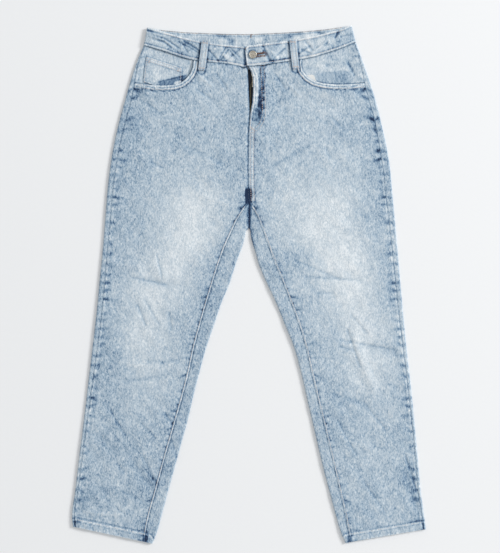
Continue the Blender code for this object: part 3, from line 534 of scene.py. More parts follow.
def fold_heights(rows: Sequence[Crease], x: Array, y: Array) -> Array:
    """Height that creases add, each faded out towards its ends."""
    total = np.zeros(np.broadcast(x, y).shape)
    for row in rows:
        away = distance_to(((row.x1, row.y1), (row.x2, row.y2)), x, y)
        total = total + row.height * bell(away, row.half_width)
    return total


@dataclass(frozen=True)
class Crumple:
    """Small uneven folds: a fixed sum of waves whose lengths lie between two limits."""

    seed: int
    shortest: float
    longest: float
    count: int = 18
    lean: float = 0.0
    bend: float = math.pi

    def at(self, x: Array, y: Array) -> Array:
        """The folds' height at each point, mostly between -1 and 1.

        Args:
            x: Across the table.
            y: Along the table.

        Returns:
            Heights of no unit.
        """
        chance = np.random.default_rng(self.seed)
        total = 0.0
        for _ in range(self.count):
            length = math.exp(chance.uniform(math.log(self.shortest), math.log(self.longest)))
            turn = self.lean + chance.uniform(-0.5, 0.5) * self.bend
            phase = chance.uniform(0.0, 2 * math.pi)
            step = 2 * math.pi / length
            total = total + np.sin(step * (x * math.cos(turn) + y * math.sin(turn)) + phase)
        return total * math.sqrt(2.0 / self.count) * 0.7


@dataclass(frozen=True)
class Puckers:
    """Small gathers along a sewn seam, dark in their hollows."""

    pitch: float
    reach: float
    seed: float
    wander: float = 0.3
    thin: float = 0.17

    def at(self, along_seam: Array, away: Array) -> Array:
        """How deep the gathers are.

        Args:
            along_seam: Distance along the seam.
            away: Distance from the seam, to one side only.

        Returns:
            From 0 on the plain cloth to 1 in the deepest hollow.
        """
        slot = along_seam / self.pitch + self.wander * np.sin(along_seam / (2.3 * self.pitch) + self.seed)
        number = np.floor(slot)
        inside = slot - number - 0.5
        depth = 0.3 + 0.7 * spread(number + 17.0 * self.seed)
        length = self.reach * (0.5 + 0.9 * spread(1.7 * number + 5.0 * self.seed))
        lean = 0.9 * (spread(2.3 * number + self.seed) - 0.5)
        across = (inside * self.pitch - lean * away) / (self.thin * self.pitch)
        return np.where(away >= 0.0, depth * bell(across, 1.0) * bell(away, length), 0.0)


class Side(Enum):
    """The wearer's side, with its direction on the table."""

    RIGHT = -1
    LEFT = 1

    @property
    def word(self) -> str:
        """The side's name in lower case."""
        return self.name.lower()


@dataclass
class Half:
    """The lines of one half of the garment, as the solids have them."""

    side: Side
    side_rows: Sequence[SideRow]
    inner_rows: Sequence[InnerRow]
    mouth_rows: Sequence[MouthRow]
    band_rows: Sequence[BandRow]
    waist_rise: float = 1.9
    waist_reach: float = 90.0
    mouth_rise: float = 2.4
    mouth_flat: float = 14.0
    mouth_fade: float = 32.0
    side_fade: float = 30.0
    facing_height: float = 3.9
    facing_rise: float = 0.7
    facing_fade: float = 20.0
    seat_lift: float = LAYER
    seat_start: float = 140.0
    seat_fade: float = 30.0
    wave_height: float = 0.35
    wave_lengths: tuple[float, float, float, float] = (47.0, 90.0, 41.0, 160.0)
    fly_middle: float = 6.0
    fly_flat: float = 20.0
    fly_fade: float = 30.0
    fly_start: float = 262.0
    fly_start_fade: float = 28.0
    fly_tops: tuple[float, float] = (5.7, 6.3)
    slider_place: Point = (8.5, 402.0)
    slider_top: float = 7.5
    crumple: Crumple = Crumple(3, 22.0, 75.0)
    crinkle: Crumple = Crumple(8, 6.0, 16.0, 26)

    def __post_init__(self) -> None:
        """Draws the smooth lines through the rows."""
        self.sign = self.side.value
        self.word = self.side.word
        self.mouth = [(row.x, row.y) for row in self.mouth_rows]
        self.top_y = self.side_rows[0].y
        self.hem_outer_y = self.side_rows[-1].y
        self.hem_fold_y = self.inner_rows[-1].fold_y
        self.fold = curve([row.y for row in self.side_rows], [row.fold for row in self.side_rows])
        self.outseam = curve([row.y for row in self.side_rows], [row.outseam for row in self.side_rows])
        fold_y = [row.fold_y for row in self.inner_rows]
        self.inner_fold = curve(fold_y, [row.fold_x for row in self.inner_rows])
        self.inseam_x = curve(fold_y, [row.seam_x for row in self.inner_rows])
        self.inseam_y = curve(fold_y, [row.seam_y for row in self.inner_rows])
        edge = [row.right if self.sign < 0 else row.left for row in FLY]
        self.centre = curve([row.y for row in FLY], edge)
        low = [BAND_FOLD_RIGHT[1] if self.sign < 0 else BAND_FOLD_LEFT[1]]
        low += [(row.low_x, row.low_y) for row in self.band_rows if row.low_x * self.sign > -2.5]
        self.band_low = curve([point[0] for point in low], [point[1] for point in low])
        low = [BAND_FOLD_RIGHT[1]] + [(row.low_x, row.low_y) for row in BAND_BACK] + [BAND_FOLD_LEFT[1]]
        self.back_low = curve([point[0] for point in low], [point[1] for point in low])
        steps = np.linspace(CROTCH_FOLD_Y, self.hem_fold_y, 40)
        self.inseam = list(zip(self.inseam_x(steps), self.inseam_y(steps)))
        self.hem = [
            (float(self.outseam(self.hem_outer_y)), self.hem_outer_y),
            (float(self.inseam_x(self.hem_fold_y)), float(self.inseam_y(self.hem_fold_y))),
        ]

    def past_outseam(self, x: Array, y: Array) -> Array:
        """Distance from the outseam towards the middle of the leg."""
        return (self.outseam(y) - x) * self.sign

    def base(self, x: Array, y: Array) -> Array:
        """Height of the outer face of the solids' fronts."""
        inside = ease(self.past_outseam(x, y) / self.side_fade)
        waist = ease(1.0 - (self.band_low(x) - y) / self.waist_reach)
        mouth = ease(1.0 - (distance_to(self.mouth, x, y) - self.mouth_flat) / self.mouth_fade)
        rise = self.waist_rise * waist
        height = LEG_TOP + inside * (rise + (self.mouth_rise - rise) * mouth)
        a, b, c, d = self.wave_lengths
        waves = self.wave_height * np.sin(y / a + x / b) * np.cos(x / c - y / d)
        height = height + (waves + fold_heights(CREASES, x, y)) * (1.0 - waist) * (1.0 - mouth)
        fly = ease(1.0 - (np.abs(x - self.fly_middle) - self.fly_flat) / self.fly_fade)
        fly = fly * ease((y - self.fly_start) / self.fly_start_fade)
        wanted = self.fly_tops[0] if self.sign < 0 else self.fly_tops[1]
        height = height + fly * np.maximum(0.0, wanted - height)
        if self.sign > 0:
            near = ease(1.0 - (np.abs(x - self.slider_place[0]) - 12.0) / 20.0)
            near = near * ease((y - 365.0) / 15.0)
            height = height + near * np.maximum(0.0, self.slider_top - height)
        return height

    def top(self, x: Array, y: Array) -> Array:
        """Height of the outer face of the front, with its small folds."""
        calm = ease(self.past_outseam(x, y) / 14.0 + 0.35)
        small = 0.36 * self.crumple.at(x, y) + 0.08 * self.crinkle.at(x, y)
        return self.base(x, y) + fold_heights(FINE_CREASES, x, y) + calm * small

    def facing_top(self, x: Array, y: Array) -> Array:
        """Height of the outer face of the facing that shows in the pocket's mouth."""
        inside = ease(self.past_outseam(x, y) / self.facing_fade)
        small = fold_heights(FACING_CREASES, x, y) + 0.12 * self.crumple.at(x, y)
        return self.facing_height + self.facing_rise * (1.0 - inside) + np.minimum(small, 0.25)

    def lift(self, x: Array, y: Array) -> Array:
        """Height of the underside, which rests on the back pockets and the back belt loops."""
        inside = ease(((self.fold(y) - x) * self.sign - 5.0) / 25.0)
        return self.seat_lift * inside * ease((y - self.seat_start) / self.seat_fade)


class Panel(Enum):
    """Kinds of cloth that the wash treats differently."""

    FRONT = "front"
    BACK = "back"
    FACING = "facing"


@dataclass(frozen=True)
class Wash:
    """Where the wash and the wear leave the denim paler or darker, and where painted light and shade stand on it.

    Each method gives four numbers for each point: fade for the broad pale areas, partly painted light on the side
    of the key light; white for worn ridges and painted highlights on crease ridges; mark for the dark lines of seams
    and for painted shade in hollows, creases and under edges; and inside for the wrong side of the cloth.
    """

    thigh_place: float = 0.53
    knee_place: float = 0.46
    fade_width: float = 0.27
    uneven: float = 0.05
    outseam_marks: Puckers = Puckers(17.0, 11.5, 1.3, 0.45, 0.2)
    inseam_marks: Puckers = Puckers(13.0, 8.5, 2.9, 0.45, 0.14)
    mouth_marks: Puckers = Puckers(9.0, 6.0, 4.2)
    band_marks: Puckers = Puckers(10.0, 6.5, 5.1)
    hem_marks: Puckers = Puckers(9.0, 9.0, 6.7, 0.4)
    blotch: Crumple = Crumple(21, 60.0, 200.0, 14)
    flecks: Crumple = Crumple(22, 12.0, 34.0, 22)

    def strength(self, y: Array) -> Array:
        """How much the middle of the leg has faded at each height."""
        rows = ((460.0, 0.2), (330.0, 0.22), (250.0, 0.3), (200.0, 0.6), (150.0, 1.0), (60.0, 1.1), (-60.0, 1.0))
        rows += ((-130.0, 0.9), (-190.0, 0.55), (-260.0, 0.2), (-330.0, 0.12), (-430.0, 0.1), (-500.0, 0.1))
        return curve([row[0] for row in rows], [row[1] for row in rows])(y)

    def leg(self, half: Half, x: Array, y: Array, panel: Panel) -> dict[str, Array]:
        """The wash of a leg, a yoke or a facing, with painted light and painted shade.

        Args:
            half: The half of the garment.
            x: Across the table.
            y: Along the table.
            panel: The kind of cloth.

        Returns:
            The four numbers for each point, by name.
        """
        out = half.past_outseam(x, y)
        row = np.clip(y, half.hem_fold_y, CROTCH_FOLD_Y)
        inner = half.inseam_x(row) * ease((CROTCH_FOLD_Y - y) / 60.0)
        width = np.maximum(60.0, np.abs(half.outseam(y) - inner))
        place = out / width
        middle = self.knee_place + (self.thigh_place - self.knee_place) * ease((y + 60.0) / 200.0)
        fade = bell(place - middle + self.uneven * half.sign, self.fade_width) * self.strength(y)
        fade = fade + 0.12 * self.blotch.at(x, y) + 0.08 * self.flecks.at(x, y)
        # The wearer's left leg, on the side of the key light, is made paler all over: painted light.
        fade = fade + (0.12 if half.side is Side.LEFT else 0.0)
        white = np.zeros_like(fade)
        mark = np.zeros_like(fade)
        upper = ease((y - 285.0) / 20.0)
        front = 1.0 if panel is Panel.FRONT else 0.55
        gathers = self.outseam_marks.at(y, np.abs(out) - 1.0)
        mark = mark + front * 1.25 * gathers + 0.1 * bell(out, 1.8) * upper + 0.3 * bell(out, 1.2)
        white = white + bell(out + 3.0, 2.0) * 0.5 + (0.75 - 0.35 * upper) * bell(out - 3.2, 1.6)
        away = distance_to(half.inseam, x, y)
        if panel is Panel.FRONT:
            dashes = self.inseam_marks.at(y, away - 4.4)
            gaps = 0.55 + 0.45 * np.clip(2.5 * self.flecks.at(y, np.zeros_like(y)), -1.0, 1.0)
            broken = 1.0 if half.side is Side.RIGHT else gaps
            line = 0.85 * bell(away - 0.3, 1.2) + 0.6 * bell(away - 4.9, 1.0)
            mark = mark + 1.2 * dashes + broken * line
            white = white + 0.85 * broken * bell(away - 2.6, 1.2)
            mark, white = self.front_seams(half, x, y, mark, white)
        else:
            mark = mark + 0.35 * bell(away, 1.5)
            # Painted shade on the left leg's back along its inner fold, where it lies in the dark gap between the legs.
            if half.side is Side.LEFT:
                lip_shade = bell(x - half.inner_fold(np.clip(y, 0.0, CROTCH_FOLD_Y)), 4.0)
                mark = mark + 0.9 * lip_shade * ease((y - 50.0) / 40.0)
        edge = distance_to(half.hem, x, y)
        hem = ease(1.2 - edge / 20.0)
        fade = fade + 0.2 * hem
        mark = mark + hem * 0.6 * self.hem_marks.at(x, edge) + 0.8 * bell(edge - 17.8, 1.5)
        mark = mark + 0.35 * bell(edge - 11.2, 1.2) + 1.2 * hem * bell(out, 2.4)
        mark = mark + 1.2 * hem * bell(away - 2.0, 2.6)
        white = white + 1.0 * bell(edge - 14.4, 1.5) + 0.5 * bell(edge, 2.0)
        # Crease ridges are paler, partly wear and partly a painted highlight; crease troughs are darker, a painted
        # shade.
        folds = 0.3 * fold_heights(CREASES[1:], x, y) + fold_heights(FINE_CREASES, x, y)
        white = white + 0.6 * np.clip(folds, 0.0, 1.0)
        mark = mark + 0.75 * np.clip(-folds, 0.0, 1.0)
        if half.side is Side.LEFT:
            mark = mark + 0.6 * gathers * bell(y - 285.0, 70.0)
            mark = mark + 0.5 * bell(out - 3.0, 3.0) * bell(y - 290.0, 45.0)
        # The crotch valley between the fronts: indigo left unbleached there, with painted shade, darkest along its
        # walls and with no white.
        crotch_navy_and_shade = ease((8.0 - np.abs(x + 1.1) - 0.25 * np.abs(y - 172.0) / 4.0) / 2.6)
        crotch_navy_and_shade = crotch_navy_and_shade * ease((186.0 - y) / 7.0) * ease((y - 92.0) / 10.0)
        white = white * (1.0 - crotch_navy_and_shade)
        sides = bell(x + 6.0, 3.0) + 0.7 * bell(x - 4.6, 1.6)
        mark = mark + crotch_navy_and_shade * (1.0 + 0.5 * sides + 0.4 * bell(y - 174.0, 9.0) - 0.4 * ease((122.0 - y) / 24.0))
        return {"fade": fade, "white": white, "mark": mark, "inside": np.zeros_like(fade)}

    def front_seams(self, half: Half, x: Array, y: Array, mark: Array, white: Array) -> tuple[Array, Array]:
        """Adds the seams that only the fronts have, and painted shade under the edges that lie over the fronts.

        Args:
            half: The half of the garment.
            x: Across the table.
            y: Along the table.
            mark: The dark lines so far.
            white: The worn ridges so far.

        Returns:
            The dark lines and the worn ridges with the mouth, the waist, the fly and the rise, and the painted shade.
        """
        rim = distance_to(half.mouth, x, y)
        white = white + 1.1 * bell(rim - 2.4, 1.5) + 1.0 * bell(rim - 7.4, 1.5)
        # The dark line at the very edge of the rim is painted shade; the other two follow the stitching.
        mark = mark + 0.5 * bell(rim - 4.9, 0.9) + 0.9 * bell(rim - 10.4, 1.3) + 0.5 * bell(rim, 0.9)
        mark = mark + 0.7 * self.mouth_marks.at(x + y, rim - 10.0)
        waist = half.band_low(x) - y
        # A painted shade under the waistband's lower edge, and gathers below it.
        mark = mark + 0.65 * bell(waist, 2.0) + 0.7 * self.band_marks.at(x, waist)
        middle = (x - half.centre(y)) * half.sign
        sewn = 1.0 - ease((y - 288.0) / 12.0)
        legs = ease((y - 95.0) / 20.0)
        mark = mark + legs * 0.85 * bell(middle, 1.5)
        if half.side is Side.LEFT:
            ridge = bell(middle - 2.4, 1.7) + bell(middle - 7.8, 2.0)
            white = white + legs * 0.8 * ridge
            mark = mark + legs * (0.4 * bell(middle - 5.0, 0.9) + (0.3 + 0.3 * sewn) * bell(middle - 11.6, 1.3))
            fly = ease((y - 300.0) / 14.0)
            uneven = 0.9 + 0.4 * self.flecks.at(2 * x, 2 * y)
            rough = 0.6 * self.flecks.at(1.7 * x, 1.7 * y)
            channel = ease((6.6 - np.abs(x - 25.5 + 0.04 * (370.0 - y))) / 3.0 + rough)
            mark = mark + 0.85 * fly * channel * uneven + 0.5 * fly * bell(x - 19.6 + 0.04 * (370.0 - y), 1.2)
            wedge = distance_to(((11.0, 318.0), (19.0, 340.0), (22.0, 352.0)), x, y)
            mark = mark + 0.6 * ease((10.0 - wedge) / 5.0) * uneven
            white = white + 0.6 * fly * bell(x - 11.0, 5.5) * ease((y - 334.0) / 14.0)
        else:
            white = white + legs * 0.25 * bell(middle - 5.0, 3.0)
        knot = bell(x, 8.5) * bell(y - 172.0, 8.0)
        # Painted shade on the front round the lower end of each belt loop.
        for loop in FRONT_LOOPS:
            line = ((loop.top_x, loop.top_y), (loop.low_x, loop.low_y))
            mark = mark + 0.9 * bell(distance_to(line, x, y) - 7.6, 1.6) * ease((waist + 4.0) / 4.0)
        return mark + 0.9 * knot, white

    def band(
        self, x: Array, y: Array, across: Array, folds: Array, over: Array, front: Array
    ) -> dict[str, Array]:
        """The wash of the waistband, with painted shade round the belt loops and the button and on the underlap.

        Args:
            x: Across the table.
            y: Along the table.
            across: From 0 at the waistband's top edge to 1 at its lower edge.
            folds: Height of its creases.
            over: 1 on the part that ends on top, and 0 on the rest.
            front: 1 on the front, and 0 on the back.

        Returns:
            The four numbers for each point, by name.
        """
        # Paler towards the wearer's left, the side of the key light: painted light.
        fade = 0.42 + 0.15 * ease(x / 160.0) + 0.3 * self.blotch.at(x, y) + 0.3 * self.flecks.at(x, y)
        low = (1.0 - across) * 36.0
        high = across * 36.0
        # Crease ridges are paler, partly wear and partly a painted highlight; crease troughs are darker, a painted
        # shade. The dark line at the very lower edge is painted shade.
        white = 0.9 * bell(high - 1.0, 1.6) + 0.6 * bell(low - 2.0, 1.5) + 1.2 * np.clip(folds, 0.0, 1.0)
        mark = 0.5 * bell(high - 4.6, 1.1) + 0.6 * bell(low - 5.0, 1.1) + 0.7 * bell(low, 0.9)
        mark = mark + 0.6 * self.band_marks.at(x + 4.0, low - 4.0) + 0.95 * np.clip(-folds, 0.0, 1.0)
        mark = mark + 0.35 * self.mouth_marks.at(x - 3.0, high - 3.0)
        # Painted shade on the front of the band along both sides of each belt loop.
        for loop in FRONT_LOOPS:
            line = ((loop.top_x, loop.top_y + 20.0), (loop.low_x, loop.low_y - 20.0))
            mark = mark + 1.2 * front * bell(distance_to(line, x, y) - 8.2, 1.8)
        # A ring of painted shade round the button.
        button = np.hypot(x - BUTTON_PLACE[0], y - BUTTON_PLACE[1])
        mark = mark + 0.7 * over * bell(button - 9.0, 1.6)
        # Painted shade on the underlap next to the overlapping end, whose own edge is worn white.
        mark = mark + 1.2 * front * (1.0 - over) * bell(x + 7.5, 3.6)
        white = white + 1.0 * over * bell(x + 4.2, 2.2)
        ticks = self.mouth_marks.at(1.6 * x, np.abs(high - 18.0))
        mark = mark + (1.0 - front) * (0.45 * ticks - 0.1)
        white = white * (0.4 + 0.6 * front)
        return {"fade": fade, "white": white, "mark": mark, "inside": np.zeros_like(fade)}

    def plain(self, x: Array, y: Array, rim: Array, pale: float) -> dict[str, Array]:
        """The wash of a small patch, such as a pocket or a belt loop.

        Args:
            x: Across the table.
            y: Along the table.
            rim: Distance from the patch's edge.
            pale: How faded it is in the middle.

        Returns:
            The four numbers for each point, by name.
        """
        fade = pale + 0.2 * self.blotch.at(x, y) + 0.15 * self.flecks.at(x, y)
        white = 0.7 * bell(rim, 1.8)
        mark = 0.35 * bell(rim - 3.2, 1.2)
        return {"fade": fade, "white": white, "mark": mark, "inside": np.zeros_like(fade)}


class Socket:
    """An output socket that takes part in Python arithmetic, each step a Math node."""

    def __init__(self, shader: "Shader", socket: bpy.types.NodeSocket) -> None:
        """Keeps the socket and the shader that it belongs to."""
        self.shader = shader
        self.socket = socket

    def math(self, operation: str, *values: "Input", clamp: bool = False) -> "Socket":
        """One Math node with this socket as its first value."""
        settings = {"operation": operation, "use_clamp": clamp}
        return self.shader.out("ShaderNodeMath", settings, dict(enumerate((self, *values))))

    def __add__(self, other: "Input") -> "Socket":
        """self + other"""
        return self.math("ADD", other)

    __radd__ = __add__

    def __mul__(self, other: "Input") -> "Socket":
        """self * other"""
        return self.math("MULTIPLY", other)

    __rmul__ = __mul__

    def __sub__(self, other: "Input") -> "Socket":
        """self - other"""
        return self.math("SUBTRACT", other)

    def __rsub__(self, other: "Input") -> "Socket":
        """other - self"""
        return self.shader.out("ShaderNodeMath", {"operation": "SUBTRACT"}, {0: other, 1: self})

    def __pow__(self, other: "Input") -> "Socket":
        """self ** other"""
        return self.math("POWER", other)

    def __abs__(self) -> "Socket":
        """The size of self, whatever its sign."""
        return self.math("ABSOLUTE")

    def held(self) -> "Socket":
        """Self kept between 0 and 1."""
        return self.math("ADD", 0.0, clamp=True)

    def step(self, low: float, high: float) -> "Socket":
        """Smooth step from 0 where self is low to 1 where it is high."""
        settings = {"interpolation_type": "SMOOTHSTEP"}
        return self.shader.out("ShaderNodeMapRange", settings, {"Value": self, "From Min": low, "From Max": high})


Input = Union[Socket, float, tuple]


class Shader:
    """A material whose nodes are added from Python."""

    def __init__(self, name: str) -> None:
        """Makes the material with its one surface shader."""
        self.material = bpy.data.materials.new(name)
        self.material.use_nodes = True
        self.tree = self.material.node_tree
        self.surface = self.tree.nodes["Principled BSDF"]

    def node(self, kind: str, settings: dict, inputs: dict) -> bpy.types.Node:
        """Adds a node.

        Args:
            kind: The node's type.
            settings: Its settings, with a ramp's stops under "stops".
            inputs: Values or links for its sockets, by name or number.

        Returns:
            The node.
        """
        made = self.tree.nodes.new(kind)
        for name, value in settings.items():
            if name == "stops":
                self.set_stops(made.color_ramp, value)
            else:
                setattr(made, name, value)
        for key, value in inputs.items():
            self.feed(made.inputs[key], value)
        return made

    def feed(self, socket: bpy.types.NodeSocket, value: Input) -> None:
        """Links a socket, or sets its value."""
        if isinstance(value, Socket):
            self.tree.links.new(value.socket, socket)
        elif isinstance(value, tuple) and len(value) == 3 and socket.type == "RGBA":
            socket.default_value = (*value, 1.0)
        else:
            socket.default_value = value

    def set_stops(self, ramp: bpy.types.ColorRamp, stops: Sequence[tuple[float, Colour]]) -> None:
        """Sets the places and colours of a ramp."""
        while len(ramp.elements) < len(stops):
            ramp.elements.new(1.0)
        for element, (place, colour) in zip(ramp.elements, stops):
            element.position = place
            element.color = (*colour, 1.0)

    def out(self, kind: str, settings: dict, inputs: dict, output: Union[int, str] = 0) -> Socket:
        """Adds a node and gives one of its outputs."""
        return Socket(self, self.node(kind, settings, inputs).outputs[output])

    def attribute(self, name: str) -> Socket:
        """A number that the piece's mesh holds at each point."""
        return self.out("ShaderNodeAttribute", {"attribute_name": name}, {}, "Fac")

    def place(self, turn: float = 0.0, stretch: Colour = (1.0, 1.0, 1.0)) -> Socket:
        """Object coordinates, turned about the vertical and stretched."""
        coords = self.out("ShaderNodeTexCoord", {}, {}, "Object")
        inputs = {"Vector": coords, "Rotation": (0.0, 0.0, turn), "Scale": stretch}
        return self.out("ShaderNodeMapping", {"vector_type": "POINT"}, inputs)

    def noise(self, where: Socket, millimetres: float, detail: float = 2.0, rough: float = 0.5) -> Socket:
        """Soft noise whose features are about the given size."""
        inputs = {"Vector": where, "Scale": 1.0 / (MM * millimetres), "Detail": detail, "Roughness": rough}
        return self.out("ShaderNodeTexNoise", {}, inputs, "Fac")

    def mix(self, factor: Input, first: Input, second: Input) -> Socket:
        """Blends two colours."""
        inputs = {0: factor, 6: first, 7: second}
        return self.out("ShaderNodeMix", {"data_type": "RGBA"}, inputs, 2)

    def ramp(self, value: Input, stops: Sequence[tuple[float, Colour]]) -> Socket:
        """Turns a number into a colour."""
        return self.out("ShaderNodeValToRGB", {"stops": stops}, {0: value})

    def bump(self, height: Socket, strength: float, millimetres: float) -> None:
        """Feeds the surface's normal from a height between 0 and 1."""
        inputs = {"Height": height, "Strength": strength, "Distance": MM * millimetres}
        self.feed(self.surface.inputs["Normal"], self.out("ShaderNodeBump", {}, inputs))

    def finish(self, colour: Input, roughness: Input, **constants: Input) -> bpy.types.Material:
        """Sets the surface's colour, roughness and constant sockets.

        Args:
            colour: The base colour.
            roughness: The roughness.
            constants: Other sockets' values, with _ for each space in their names.

        Returns:
            The material.
        """
        self.feed(self.surface.inputs["Base Color"], colour)
        self.feed(self.surface.inputs["Roughness"], roughness)
        for name, value in constants.items():
            self.surface.inputs[name.replace("_", " ")].default_value = value
        return self.material


def tint(red: int, green: int, blue: int) -> Colour:
    """The linear colour of a display colour given from 0 to 255."""
    parts = (red / 255.0, green / 255.0, blue / 255.0)
    return tuple(c / 12.92 if c <= 0.04045 else ((c + 0.055) / 1.055) ** 2.4 for c in parts)


@dataclass(frozen=True)
class DenimFinish:
    """Light acid-washed denim: indigo left in the hollows, white on what stands up, with the painted shade and painted
    highlights that each mesh's wash holds.
    """

    name: str = "denim"
    middle: float = 0.672
    fade: float = 0.22
    navy: Colour = tint(26, 46, 76)
    blue: Colour = tint(82, 112, 144)
    sky: Colour = tint(140, 163, 183)
    mist: Colour = tint(170, 187, 201)
    pale: Colour = tint(197, 208, 216)
    white: Colour = tint(234, 238, 240)
    weft: Colour = tint(176, 188, 198)
    lean: float = 0.7

    def make(self) -> bpy.types.Material:
        """Builds the material from the wash that each mesh holds, and from its own weave and crinkle."""
        shader = Shader(self.name)
        slub = shader.place(self.lean, (1.0, 0.5, 1.0))
        cross = shader.place(-self.lean, (1.0, 0.6, 1.0))
        plain = shader.place()
        crinkle = 0.5 * (shader.noise(slub, 2.4, 3.0, 0.6) + shader.noise(cross, 2.9, 3.0, 0.6)) - 0.5
        calm = 1.0 - 0.45 * shader.attribute("fade").held()
        crackle = shader.noise(cross, 5.2, 3.0, 0.6) - 0.5
        vein = 1.0 - (abs(crackle) * 15.0).held()
        wisp = 1.0 - (abs(shader.noise(slub, 9.0, 4.0, 0.7) - 0.5) * 17.0).held()
        mottle = shader.noise(plain, 11.0, 3.0, 0.6) - 0.5
        cloud = shader.noise(plain, 55.0, 2.0) - 0.5
        # mark darkens seam lines and painted shade alike; white lightens worn ridges and painted highlights on crease
        # ridges.
        mark = shader.attribute("mark") * (0.85 + 0.9 * mottle + 0.8 * crinkle)
        worn = shader.attribute("white") * (0.85 + 0.8 * crackle + 0.8 * crinkle)
        grain = 1.25 * crinkle + 0.1 * mottle + 0.18 * cloud - 0.17 * vein - 0.2 * wisp
        tone = self.middle + self.fade * shader.attribute("fade") + calm * grain
        tone = (tone + 0.28 * worn - 0.52 * mark).held()
        stops = (
            (0.0, self.navy),
            (0.24, self.blue),
            (0.44, self.sky),
            (0.6, self.mist),
            (0.78, self.pale),
            (1.0, self.white),
        )
        colour = shader.ramp(tone, stops)
        colour = shader.mix(0.6 * shader.attribute("inside"), colour, self.weft)
        twill = shader.out(
            "ShaderNodeTexWave",
            {"wave_type": "BANDS", "bands_direction": "X"},
            {"Vector": shader.place(1.1), "Scale": 1.0 / (MM * 7.0), "Distortion": 1.5, "Detail": 1.0},
            "Fac",
        )
        height = 0.5 * crinkle - 0.25 * vein - 0.3 * wisp + 0.12 * twill + 0.4 * mottle
        shader.bump(height, 0.5, 0.9)
        return shader.finish(colour, 0.86, Specular_IOR_Level=0.25, Sheen_Weight=0.05)


@dataclass(frozen=True)
class ClothFinish:
    """A plain woven cloth of one colour, such as cotton or tape."""

    name: str
    colour: Colour
    shadow: Colour
    thread: float
    roughness: float = 0.88

    def make(self) -> bpy.types.Material:
        """Builds the material with its weave."""
        shader = Shader(self.name)
        step = 1.0 / (MM * self.thread * 10.0)
        bands = []
        for way in ("X", "Y"):
            settings = {"wave_type": "BANDS", "bands_direction": way}
            bands.append(shader.out("ShaderNodeTexWave", settings, {"Vector": shader.place(), "Scale": step}, "Fac"))
        weave = 0.5 * bands[0] + 0.5 * bands[1]
        uneven = shader.noise(shader.place(), 9.0, 3.0)
        colour = shader.mix((0.35 * weave + 0.8 * uneven).held(), self.shadow, self.colour)
        shader.bump(weave + 0.5 * uneven, 0.4, 0.3)
        return shader.finish(colour, self.roughness, Specular_IOR_Level=0.25)


@dataclass(frozen=True)
class MetalFinish:
    """Aged brass with a brushed face, darker where it tarnishes."""

    name: str
    colour: Colour
    tarnish: Colour

    def make(self) -> bpy.types.Material:
        """Builds the material."""
        shader = Shader(self.name)
        stains = shader.noise(shader.place(), 2.2, 3.0).step(0.42, 0.68)
        scratch = shader.noise(shader.place(0.4, (1.0, 0.12, 1.0)), 0.5, 2.0)
        colour = shader.mix(0.7 * stains, self.colour, self.tarnish)
        shader.bump(0.4 * scratch + 0.6 * stains, 0.25, 0.15)
        return shader.finish(colour, 0.32 + 0.3 * stains + 0.1 * scratch, Metallic=1.0)


@dataclass(frozen=True)
class ThreadFinish:
    """Sewing thread with its twist."""

    name: str
    colour: Colour
    shadow: Colour

    def make(self) -> bpy.types.Material:
        """Builds the material."""
        shader = Shader(self.name)
        twist = shader.noise(shader.place(0.6, (1.0, 0.3, 1.0)), 0.5, 1.0)
        fade = shader.noise(shader.place(), 14.0, 2.0)
        colour = shader.mix((0.4 * twist + 0.9 * fade).held(), self.shadow, self.colour)
        shader.bump(twist, 0.3, 0.1)
        return shader.finish(colour, 0.7, Specular_IOR_Level=0.3)


@dataclass(frozen=True)
class FloorFinish:
    """The plain pale ground."""

    name: str = "ground"
    colour: Colour = (0.86, 0.865, 0.87)

    def make(self) -> bpy.types.Material:
        """Builds the material, with a grain too faint to see from far off."""
        shader = Shader(self.name)
        grain = shader.noise(shader.place(), 6.0, 2.0)
        darker = tuple(0.985 * part for part in self.colour)
        return shader.finish(shader.mix(grain, darker, self.colour), 0.95, Specular_IOR_Level=0.1)


@dataclass(frozen=True)
class Wardrobe:
    """Every finish of the jeans, made once."""

    denim: bpy.types.Material
    cotton: bpy.types.Material
    tape: bpy.types.Material
    metal: bpy.types.Material
    dark_metal: bpy.types.Material
    pale_thread: bpy.types.Material
    brown_thread: bpy.types.Material


def make_wardrobe() -> Wardrobe:
    """Makes the materials."""
    return Wardrobe(
        DenimFinish().make(),
        ClothFinish("pocket_cotton", tint(236, 236, 232), tint(206, 208, 208), 0.5).make(),
        ClothFinish("zip_tape", tint(34, 40, 50), tint(8, 12, 18), 0.7).make(),
        MetalFinish("metal", (0.62, 0.58, 0.50), (0.20, 0.17, 0.13)).make(),
        MetalFinish("dark_metal", (0.16, 0.14, 0.09), (0.05, 0.045, 0.03)).make(),
        ThreadFinish("thread_pale", tint(222, 205, 196), tint(176, 170, 168)).make(),
        ThreadFinish("thread_brown", tint(140, 96, 66), tint(84, 52, 38)).make(),
    )


def frame_shift() -> Array:
    """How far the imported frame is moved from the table, found from the button, in millimetres."""
    low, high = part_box("button")
    middle = [0.5 * (low[k] + high[k]) / MM for k in (0, 1)]
    return np.array([middle[0] - BUTTON_PLACE[0], middle[1] - BUTTON_PLACE[1], 0.0])


SHIFT = frame_shift()


def to_frame(points: Array) -> Array:
    """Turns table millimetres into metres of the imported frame."""
    return (np.asarray(points, float) + SHIFT) * MM


def link_mesh(name: str, mesh: bpy.types.Mesh, material: bpy.types.Material) -> bpy.types.Object:
    """Puts a mesh into the scene with its material."""
    mesh.materials.clear()
    mesh.materials.append(material)
    made = bpy.data.objects.new(name, mesh)
    bpy.context.scene.collection.objects.link(made)
    return made


